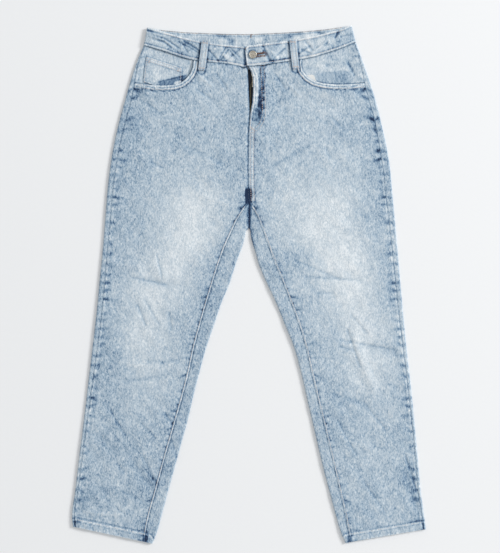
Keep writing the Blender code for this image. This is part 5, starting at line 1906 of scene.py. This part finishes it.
@dataclass
class BeltLoops:
    """Two loops arched over the front of the waistband and three on the back."""

    wash: Wash
    halves: dict[Side, Half]
    front_cut: Cut = Cut(0.014, 0.056, 0.00078)
    back_cut: Cut = Cut(0.014, 0.053, 0.00074)
    width: float = 14.0
    wall: float = 1.8
    arch: float = 1.3
    seat: float = 0.5
    band_top: float = 7.0
    end_reach: float = 4.0

    def centre_line(self, loop: LoopEnds, rows: int) -> tuple[Array, Array]:
        """Middle line of a loop and the way across it."""
        t = np.linspace(0.0, 1.0, rows)[:, None]
        start, end = np.array([loop.top_x, loop.top_y]), np.array([loop.low_x, loop.low_y])
        run = end - start
        return start + t * run, np.array([-run[1], run[0]]) / np.hypot(*run)

    def build_front(self, loop: LoopEnds, half: Half) -> Cloth:
        """A front loop, sewn down at both ends."""
        rows = 40
        middle, across = self.centre_line(loop, rows)
        t = np.linspace(0.0, 1.0, rows)
        below = middle[:, 1] < half.band_low(middle[:, 0]) + self.end_reach
        under = np.where(below, np.maximum(self.band_top, half.base(middle[:, 0], middle[:, 1])), self.band_top)
        s = np.array([-0.5, -0.46, -0.38, -0.28, -0.15, 0.0, 0.15, 0.28, 0.38, 0.46, 0.5])
        x = middle[:, 0:1] + across[0] * s * self.width
        y = middle[:, 1:2] + across[1] * s * self.width
        z = (under + self.seat + self.wall + self.arch * np.sin(math.pi * t))[:, None]
        rim = (0.5 - np.abs(s)) * self.width
        z = z - 0.35 * bell(rim, 0.8) - 0.2 * bell(rim - 3.2, 0.9)
        fields = self.wash.plain(x, y, np.broadcast_to(rim, x.shape), 0.75)
        # Painted shade along the loop's edges and at its ends; the fainter line inside follows the stitching.
        ends = np.minimum(t, 1.0 - t)[:, None] * 56.0
        fields["mark"] = fields["mark"] + 0.6 * bell(ends, 1.2) + 1.0 * bell(rim, 1.1) + 0.3 * bell(rim - 4.4, 0.8)
        fields["mark"] = fields["mark"] + 0.35 * self.wash.mouth_marks.at(y, rim)
        cloth = Cloth(loop.name + "_cloth")
        cloth.join(cloth.add(np.stack([x, y, z], axis=-1), upwards(x.shape), self.wall, fields))
        return cloth

    def build_back(self, loop: LoopEnds) -> Cloth:
        """A back loop, which the garment lies on."""
        middle, across = self.centre_line(loop, 24)
        s = np.linspace(-0.5, 0.5, 9)
        x = middle[:, 0:1] + across[0] * s * self.width
        y = middle[:, 1:2] + across[1] * s * self.width
        rim = np.broadcast_to((0.5 - np.abs(s)) * self.width, x.shape)
        fields = self.wash.plain(x, y, rim, 0.5)
        z = 0.15 * bell(rim - 3.2, 0.9) + 0.2 * bell(rim, 0.8)
        cloth = Cloth(loop.name + "_cloth")
        cloth.join(cloth.add(np.stack([x, y, z], axis=-1), upwards(x.shape, -1.0), DENIM - z, fields))
        return cloth

    def build(self, outfit: Outfit, wardrobe: Wardrobe) -> None:
        """Builds the five loops."""
        for loop, side in zip(FRONT_LOOPS, (Side.RIGHT, Side.LEFT)):
            cloth = self.build_front(loop, self.halves[side])
            outfit.cloth(cloth, wardrobe.denim, "denim", loop.name, self.front_cut, ["waistband"])
        for loop in BACK_LOOPS:
            outfit.cloth(self.build_back(loop), wardrobe.denim, "denim", loop.name, self.back_cut, [])


@dataclass
class BackPocket:
    """A patch pocket on the seat, under the garment."""

    half: Half
    wash: Wash
    cut: Cut = Cut(0.155, 0.165, 0.0222)

    def outline(self) -> Array:
        """The pocket's corners."""
        return np.array([(self.half.sign * x, y) for x, y in BACK_POCKET])

    def build(self, outfit: Outfit, wardrobe: Wardrobe) -> None:
        """Builds the pocket from its top edge to its pointed lower edge."""
        corners = self.outline()
        s = np.linspace(0.0, 1.0, 44)
        upper = along(corners[:2], s)
        lower = along(corners[[4, 3, 2]], s)
        t = np.linspace(0.0, 1.0, 44)[:, None, None]
        places = upper[None] + t * (lower - upper)[None]
        x, y = places[..., 0], places[..., 1]
        rim = distance_to([*corners, corners[0]], x, y)
        fields = self.wash.plain(x, y, rim, 0.75)
        hem = distance_to(corners[:2], x, y)
        fields["mark"] = fields["mark"] + 0.4 * bell(hem - 22.0, 1.6)
        z = 0.25 * bell(rim, 1.4) + 0.12 * bell(rim - 3.2, 1.0) + 0.12 * bell(hem - 22.0, 1.2)
        cloth = Cloth("back_pocket_" + self.half.word + "_cloth")
        cloth.join(cloth.add(np.stack([x, y, z], axis=-1), upwards(x.shape, -1.0), DENIM - z, fields))
        outfit.cloth(cloth, wardrobe.denim, "denim", "back_pocket_" + self.half.word, self.cut, [])


class Form(Enum):
    """Small shapes that are repeated along a path."""

    STITCH = "stitch"
    TOOTH = "tooth"


@dataclass(frozen=True)
class Run:
    """Geometry Nodes that set a small shape again and again along lines."""

    form: Form
    pitch: float
    long: float
    wide: float
    high: float
    seed: int = 5

    def tree(self, material: bpy.types.Material) -> bpy.types.NodeTree:
        """Builds the node tree, with its sizes as named inputs in metres."""
        tree = bpy.data.node_groups.new("run_of_" + self.form.value, "GeometryNodeTree")
        tree.interface.new_socket("Lines", in_out="INPUT", socket_type="NodeSocketGeometry")
        for name in ("Pitch", "Length", "Width", "Height"):
            tree.interface.new_socket(name, in_out="INPUT", socket_type="NodeSocketFloat")
        tree.interface.new_socket("Shapes", in_out="OUTPUT", socket_type="NodeSocketGeometry")
        node, link = tree.nodes.new, tree.links.new
        given, result = node("NodeGroupInput"), node("NodeGroupOutput")
        lines = node("GeometryNodeMeshToCurve")
        spaced = node("GeometryNodeResampleCurve")
        spaced.mode = "LENGTH"
        if self.form is Form.STITCH:
            shape = node("GeometryNodeMeshUVSphere")
            shape.inputs["Segments"].default_value = 6
            shape.inputs["Rings"].default_value = 4
            shape.inputs["Radius"].default_value = 0.5
        else:
            shape = node("GeometryNodeMeshCube")
        size = node("ShaderNodeCombineXYZ")
        tangent = node("GeometryNodeInputTangent")
        turn = node("FunctionNodeAlignRotationToVector")
        turn.axis = "X"
        uneven = node("FunctionNodeRandomValue")
        uneven.data_type = "FLOAT"
        uneven.inputs[2].default_value = 0.86
        uneven.inputs[3].default_value = 1.1
        uneven.inputs["Seed"].default_value = self.seed
        scale = node("ShaderNodeVectorMath")
        scale.operation = "SCALE"
        placed = node("GeometryNodeInstanceOnPoints")
        real = node("GeometryNodeRealizeInstances")
        smooth = node("GeometryNodeSetShadeSmooth")
        smooth.inputs["Shade Smooth"].default_value = self.form is Form.STITCH
        dressed = node("GeometryNodeSetMaterial")
        dressed.inputs["Material"].default_value = material
        link(given.outputs["Lines"], lines.inputs["Mesh"])
        link(lines.outputs["Curve"], spaced.inputs["Curve"])
        link(given.outputs["Pitch"], spaced.inputs["Length"])
        for name, axis in (("Length", "X"), ("Width", "Y"), ("Height", "Z")):
            link(given.outputs[name], size.inputs[axis])
        link(size.outputs[0], scale.inputs[0])
        link(uneven.outputs[1], scale.inputs["Scale"])
        link(tangent.outputs[0], turn.inputs["Vector"])
        link(spaced.outputs["Curve"], placed.inputs["Points"])
        link(shape.outputs["Mesh"], placed.inputs["Instance"])
        link(turn.outputs["Rotation"], placed.inputs["Rotation"])
        link(scale.outputs[0], placed.inputs["Scale"])
        link(placed.outputs["Instances"], real.inputs["Geometry"])
        link(real.outputs["Geometry"], smooth.inputs["Geometry"])
        link(smooth.outputs["Geometry"], dressed.inputs["Geometry"])
        link(dressed.outputs["Geometry"], result.inputs["Shapes"])
        return tree

    def make(self, name: str, paths: Sequence[Array], material: bpy.types.Material) -> bpy.types.Object:
        """Sets the shape along every path and turns the result into a plain mesh.

        Args:
            name: The piece's name.
            paths: Lines of points in table millimetres.
            material: The piece's finish.

        Returns:
            The piece.
        """
        points = to_frame(np.concatenate(paths))
        starts = np.cumsum([0] + [len(path) for path in paths])
        edges = [(k, k + 1) for start, end in zip(starts, starts[1:]) for k in range(start, end - 1)]
        guide = bpy.data.meshes.new(name + "_guide")
        guide.from_pydata(points.tolist(), [(int(a), int(b)) for a, b in edges], [])
        carrier = bpy.data.objects.new(name + "_guide", guide)
        bpy.context.scene.collection.objects.link(carrier)
        modifier = carrier.modifiers.new("run", "NODES")
        modifier.node_group = self.tree(material)
        sizes = {"Pitch": self.pitch, "Length": self.long, "Width": self.wide, "Height": self.high}
        for socket in modifier.node_group.interface.items_tree:
            if socket.name in sizes:
                modifier[socket.identifier] = sizes[socket.name] * MM
        graph = bpy.context.evaluated_depsgraph_get()
        mesh = bpy.data.meshes.new_from_object(carrier.evaluated_get(graph))
        bpy.data.objects.remove(carrier)
        return link_mesh(name, mesh, material)


def over(path: Array, height: Height, lift: float) -> Array:
    """Lays a flat path on a surface."""
    return np.column_stack([path, height(path[:, 0], path[:, 1]) + lift])


def bar(start: Point, end: Point, width: float, pitch: float) -> Array:
    """The zigzag of a bartack between two points."""
    count = max(3, round(math.dist(start, end) / pitch))
    middle = np.linspace(np.array(start), np.array(end), count)
    swing = 0.5 * width * (-1.0) ** np.arange(count)
    return middle + (beside(middle, 1.0) - middle) * swing[:, None]


@dataclass
class Sewing:
    """Topstitching, bartacks and the buttonhole's edge."""

    halves: dict[Side, Half]
    band: Waistband
    stitch: Run = Run(Form.STITCH, 4.2, 3.4, 0.95, 0.6)
    tack: Run = Run(Form.STITCH, 0.8, 1.2, 0.6, 0.5, 9)
    lift: float = 0.08

    def front_lines(self, half: Half) -> list[Array]:
        """Topstitching of one front."""
        top = half.top
        mouth = evenly(half.mouth, 3.0)
        lines = [beside(mouth, -half.sign * reach)[2:-1] for reach in (2.4, 8.2)]
        rise_y = np.linspace(289.0, 160.0, 44)
        if half.side is Side.LEFT:
            for reach in (4.2, 10.6):
                lines.append(np.stack([half.centre(rise_y) + reach, rise_y], axis=-1))
            corners = ((22.7, 417.6), (24.6, 370.0), (25.6, 340.0), (25.0, 322.0), (20.0, 308.0))
            corners += ((12.0, 299.0), (2.0, 293.6))
            rows = range(len(corners))
            smooth = np.linspace(0.0, len(corners) - 1.0, 50)
            path = np.stack([curve(rows, [c[k] for c in corners])(smooth) for k in (0, 1)], axis=-1)
            lines += [path, beside(path, 6.0)[:-2]]
            edge_y = np.linspace(412.0, 300.0, 40)
            lines.append(np.stack([half.centre(edge_y) + 2.0, edge_y], axis=-1))
        inseam = evenly(half.inseam, 4.0)[3:-4]
        lines.append(beside(inseam, half.sign * 3.4))
        hem_x = np.linspace(half.outseam(half.hem_outer_y) - half.sign * 2.0, half.inseam_x(half.hem_fold_y), 40)
        share = np.linspace(0.0, 1.0, 40)
        low = half.hem_outer_y + share * (half.inseam_y(half.hem_fold_y) - half.hem_outer_y)
        lines.append(np.stack([hem_x, low + 14.4], axis=-1)[1:-1])
        return [over(line, top, self.lift + 0.1) for line in lines]

    def band_lines(self) -> list[Array]:
        """Topstitching along both edges of the waistband."""
        lines = []
        for rows, height in ((BAND_FRONT_RIGHT[:-3], None), (BAND_FRONT_LEFT[1:], self.band.front_height)):
            knots = self.band.spread_rows(rows)
            for v in (0.085, 0.915):
                path = knots[:, :2] + v * (knots[:, 2:] - knots[:, :2])
                if height is None:
                    z = np.full(len(path), self.band.top)
                else:
                    z = height(path[:, 0])
                lines.append(np.column_stack([path, z + self.lift - 0.05]))
        return lines

    def coin_lines(self) -> list[Array]:
        """Two rows along the coin pocket's hem and one down each side."""
        half = self.halves[Side.RIGHT]
        hem = evenly(COIN_TOP, 3.0)
        lines = [beside(hem, -2.6)[1:-1], beside(hem, -7.6)[1:-1]]
        for end, way in ((0, 1.0), (-1, -1.0)):
            side = evenly((COIN_TOP[end], COIN_MIDDLE[end], COIN_LOW[end]), 3.0)
            lines.append(beside(side, way * 2.4)[1:])
        return [over(line, lambda x, y: half.facing_top(x, y) + LAYER, self.lift) for line in lines]

    def loop_lines(self, loops: BeltLoops) -> list[Array]:
        """Two rows along each front loop."""
        lines = []
        for loop, side in zip(FRONT_LOOPS, (Side.RIGHT, Side.LEFT)):
            middle, across = loops.centre_line(loop, 24)
            half = self.halves[side]
            below = middle[:, 1] < half.band_low(middle[:, 0]) + loops.end_reach
            under = np.where(below, np.maximum(loops.band_top, half.base(middle[:, 0], middle[:, 1])), loops.band_top)
            z = under + loops.seat + loops.wall + loops.arch * np.sin(np.linspace(0.0, math.pi, 24))
            for reach in (-3.8, 3.8):
                lines.append(np.column_stack([middle + reach * across, z]))
        return lines

    def hidden_lines(self) -> list[Array]:
        """Topstitching of the back pockets, the yokes and the seat seam, on the underside."""
        lines = []
        for half in self.halves.values():
            corners = [(half.sign * x, y) for x, y in BACK_POCKET]
            loop = evenly([corners[0], *corners[:0:-1]], 3.5)
            for reach in (3.2, 9.0):
                path = beside(loop, -half.sign * reach)
                lines.append(np.column_stack([path, np.full(len(path), 0.3)]))
            start = (half.fold(YOKE_OUTER_Y) - half.sign * 16.0, YOKE_OUTER_Y - 5.0)
            yoke = np.linspace(start, (half.sign * 5.0, YOKE_CENTRE_Y - 5.0), 70)
            for reach in (0.0, 6.0):
                path = yoke - (0.0, reach)
                lines.append(over(path, half.lift, 0.0))
            y = np.linspace(YOKE_CENTRE_Y - 8.0, 190.0, 50)
            lines.append(over(np.stack([np.full_like(y, half.sign * 4.0), y], axis=-1), half.lift, 0.0))
        return lines

    def buttonhole(self) -> list[Array]:
        """Stitches set square to the buttonhole's edge, round to its keyhole end."""
        start, end = np.array([13.0, 437.2]), np.array([30.0, 439.6])
        run = (end - start) / np.hypot(*(end - start))
        across = np.array([-run[1], run[0]])
        lines = []
        for t in np.linspace(0.0, 1.0, 22):
            middle = start + t * (end - start)
            wide = 1.7 + 0.9 * ease((t - 0.7) / 0.3)
            for way in (-1.0, 1.0):
                near, far = middle + way * across * wide, middle + way * across * (wide + 1.9)
                lines.append(np.linspace(near, far, 3))
        for turn in np.linspace(-0.5 * math.pi, 0.5 * math.pi, 9):
            way = math.cos(turn) * run + math.sin(turn) * across
            lines.append(np.linspace(end + way * 2.4, end + way * 4.4, 3))
        return [over(line, lambda x, y: self.band.front_height(x), 0.1) for line in lines]

    def build(self, outfit: Outfit, wardrobe: Wardrobe, loops: BeltLoops) -> list[bpy.types.Object]:
        """Sews every seam that shows.

        Args:
            outfit: Takes in the pieces.
            wardrobe: The finishes.
            loops: The belt loops, whose rows of stitches follow them.

        Returns:
            The pieces of thread.
        """
        seams = self.band_lines() + self.coin_lines() + self.loop_lines(loops) + self.hidden_lines()
        for half in self.halves.values():
            seams += self.front_lines(half)
        right, left = self.halves[Side.RIGHT], self.halves[Side.LEFT]
        tacks = [over(bar((2.0, 301.0), (11.0, 293.0), 3.0, 0.9), left.top, 0.15)]
        for point, away in (((-190.3, 429.0), 6.0), ((-134.6, 412.6), 6.0)):
            flat = bar(point, (point[0] - 0.35 * away, point[1] - away), 3.0, 0.9)
            tacks.append(over(flat, lambda x, y: right.facing_top(x, y) + LAYER, 0.1))
        for loop in FRONT_LOOPS:
            for t, z in ((0.06, 9.6), (0.93, 9.6)):
                x = loop.top_x + t * (loop.low_x - loop.top_x)
                y = loop.top_y + t * (loop.low_y - loop.top_y)
                tacks.append(np.column_stack([bar((x - 5.5, y + 0.6), (x + 5.5, y - 0.6), 2.2, 0.9), np.full(12, z)]))
        brown = self.buttonhole()
        edge = self.band.spread_rows(BAND_BACK)
        path = edge[:, :2] + 0.035 * (edge[:, 2:] - edge[:, :2])
        brown.append(np.column_stack([path, np.full(len(path), self.band.back + self.band.wall)]))
        brown.append(np.column_stack([bar((3.8, 478.5), (3.8, 472.0), 3.0, 0.8), np.full(8, 3.9)]))
        return [
            outfit.take(self.stitch.make("topstitching", seams, wardrobe.pale_thread), "thread"),
            outfit.take(self.tack.make("bartacks", tacks, wardrobe.pale_thread), "thread"),
            outfit.take(Run(Form.STITCH, 1.6, 1.9, 0.7, 0.55, 3).make("buttonhole_thread", brown, wardrobe.brown_thread), "thread"),
        ]


@dataclass
class Fly:
    """The zip: its tape, its chain of teeth and its slider."""

    tape_cut: Cut = Cut(0.026, 0.118, 0.00307)
    back: float = 2.9
    wall: float = 1.0
    half_width: float = 13.0
    ends: Point = (411.0, 293.0)
    middle: float = 2.5
    lean_to: float = 8.5
    lean_start: float = 372.0
    lean_run: float = 28.0
    teeth: Run = Run(Form.TOOTH, 2.2, 1.1, 1.3, 1.0)

    def line(self, y: Array) -> Array:
        """Middle of the zip at each height."""
        return self.middle + (self.lean_to - self.middle) * ease((y - self.lean_start) / self.lean_run)

    def build(self, outfit: Outfit, wardrobe: Wardrobe) -> None:
        """Builds the tape and the teeth, and gives the slider its finish."""
        y = np.linspace(*self.ends, 60)[:, None]
        x = self.line(y) + np.linspace(-1.0, 1.0, 12) * self.half_width
        y = np.broadcast_to(y, x.shape)
        cloth = Cloth("zip_tape_cloth")
        z = np.full_like(x, self.back + self.wall)
        fields = {key: np.zeros_like(x) for key in ("fade", "white", "mark", "inside")}
        cloth.join(cloth.add(np.stack([x, y, z], axis=-1), upwards(x.shape), self.wall, fields))
        outfit.cloth(cloth, wardrobe.tape, "zip_tape", "zip_tape", self.tape_cut, ["back_right", "back_left"])
        rows = np.linspace(396.0, 297.0, 60)
        paths = []
        for way, shift in ((-0.5, 0.0), (0.5, 1.1)):
            at = rows - shift
            paths.append(np.stack([self.line(at) + way, at, np.full_like(at, self.back + self.wall + 0.5)], axis=-1))
        outfit.take(self.teeth.make("zip_teeth", paths, wardrobe.dark_metal), "metal")
        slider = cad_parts["zip_slider"]
        slider.data.materials.clear()
        slider.data.materials.append(wardrobe.metal)


@dataclass
class Fastening:
    """The shank button, turned like the real one, with a plain ringed face."""

    radius: float = 7.75
    shank: float = 1.5
    seat: float = 10.0
    foot: float = 7.3
    sides: int = 56

    def profile(self) -> list[Point]:
        """Radius and height of each ring, from the foot of the shank to the middle of the face."""
        r, z = self.radius, self.seat
        rim = [(r - 0.5, z), (r - 0.12, z + 0.2), (r, z + 0.6)]
        rim += [(r - 0.06, z + 1.15), (r - 0.35, z + 1.7), (r - 0.9, z + 2.05)]
        face = [(r - 1.5, z + 2.15), (r - 2.0, z + 1.95), (r - 2.35, z + 1.55), (r - 2.7, z + 1.5), (r - 3.0, z + 1.62)]
        middle = [(r - 4.6, z + 1.75), (r - 4.9, z + 1.6), (r - 5.3, z + 1.62), (0.6, z + 1.72)]
        return [(self.shank, self.foot), (self.shank, z - 0.05)] + rim + face + middle

    def build(self, outfit: Outfit, wardrobe: Wardrobe) -> None:
        """Builds the button in place of its solid."""
        turns = np.linspace(0.0, 2 * math.pi, self.sides, endpoint=False)
        rings = []
        for radius, z in self.profile():
            across, up = radius * np.cos(turns), radius * np.sin(turns)
            ring = [BUTTON_PLACE[0] + across, BUTTON_PLACE[1] + up, np.full(self.sides, z)]
            rings.append(np.stack(ring, axis=-1))
        last = len(rings) - 1
        faces = [tuple(reversed(range(self.sides))), tuple(range(last * self.sides, (last + 1) * self.sides))]
        for ring in range(last):
            for k in range(self.sides):
                a, b = ring * self.sides + k, ring * self.sides + (k + 1) % self.sides
                faces.append((a, b, b + self.sides, a + self.sides))
        mesh = solid_mesh("button_turned", np.concatenate(rings), faces, 50.0)
        outfit.take(link_mesh("button_turned", mesh, wardrobe.metal), "metal", "button")


@dataclass
class Studio:
    """The ground, the lights and the camera."""

    aim: Point = (1.9, 13.4)
    focus: float = 4.0
    tall: float = 1061.8
    lens: float = 85.0
    sensor: float = 36.0
    sky: float = 0.66
    key: float = 540.0
    key_place: tuple[float, float, float] = (6.8, 2.8, 4.0)
    key_size: float = 2.6

    def build(self) -> None:
        """Sets the studio up."""
        ground = bpy.data.meshes.new("ground")
        reach = 4.0
        corners = [(-reach, -reach, 0.0), (reach, -reach, 0.0), (reach, reach, 0.0), (-reach, reach, 0.0)]
        ground.from_pydata(corners, [], [(0, 1, 2, 3)])
        link_mesh("ground", ground, FloorFinish().make())
        world = bpy.data.worlds.new("studio")
        world.use_nodes = True
        world.node_tree.nodes["Background"].inputs["Color"].default_value = (0.97, 0.985, 1.0, 1.0)
        world.node_tree.nodes["Background"].inputs["Strength"].default_value = self.sky
        bpy.context.scene.world = world
        lamp = bpy.data.lights.new("key", "AREA")
        lamp.shape = "DISK"
        lamp.size = self.key_size
        lamp.energy = self.key
        key = bpy.data.objects.new("key", lamp)
        key.location = self.key_place
        key.rotation_euler = (Vector((0.0, 0.0, 0.0)) - key.location).to_track_quat("-Z", "Y").to_euler()
        bpy.context.scene.collection.objects.link(key)
        camera = bpy.data.cameras.new("camera")
        camera.lens = self.lens
        camera.sensor_width = self.sensor
        camera.dof.use_dof = False
        camera.clip_end = 20.0
        seen = bpy.data.objects.new("camera", camera)
        middle = to_frame((*self.aim, self.focus))
        distance = MM * self.tall * self.lens / self.sensor
        seen.location = (middle[0], middle[1], middle[2] + distance)
        bpy.context.scene.collection.objects.link(seen)
        bpy.context.scene.camera = seen
        bpy.context.scene.view_settings.view_transform = "Standard"


def main() -> None:
    """Builds the jeans piece by piece, then the studio."""
    logging.basicConfig(level=logging.INFO, format="%(name)s: %(message)s")
    wash = Wash()
    halves = {
        Side.RIGHT: Half(Side.RIGHT, SIDE_RIGHT, INNER_RIGHT, MOUTH_RIGHT, BAND_FRONT_RIGHT),
        Side.LEFT: Half(Side.LEFT, SIDE_LEFT, INNER_LEFT, MOUTH_LEFT, BAND_FRONT_LEFT),
    }
    outfit = Outfit()
    wardrobe = make_wardrobe()
    for half in halves.values():
        BackPocket(half, wash).build(outfit, wardrobe)
        Leg(half, wash).build(outfit, wardrobe)
        FrontPocket(half, wash).build(outfit, wardrobe)
    band = Waistband(wash)
    band.build(outfit, wardrobe)
    loops = BeltLoops(wash, halves)
    loops.build(outfit, wardrobe)
    Fly().build(outfit, wardrobe)
    Fastening().build(outfit, wardrobe)
    Sewing(halves, band).build(outfit, wardrobe, loops)
    Studio().build()
    log.info("%d pieces", len(outfit.made))


if __name__ == "__main__":
    main()
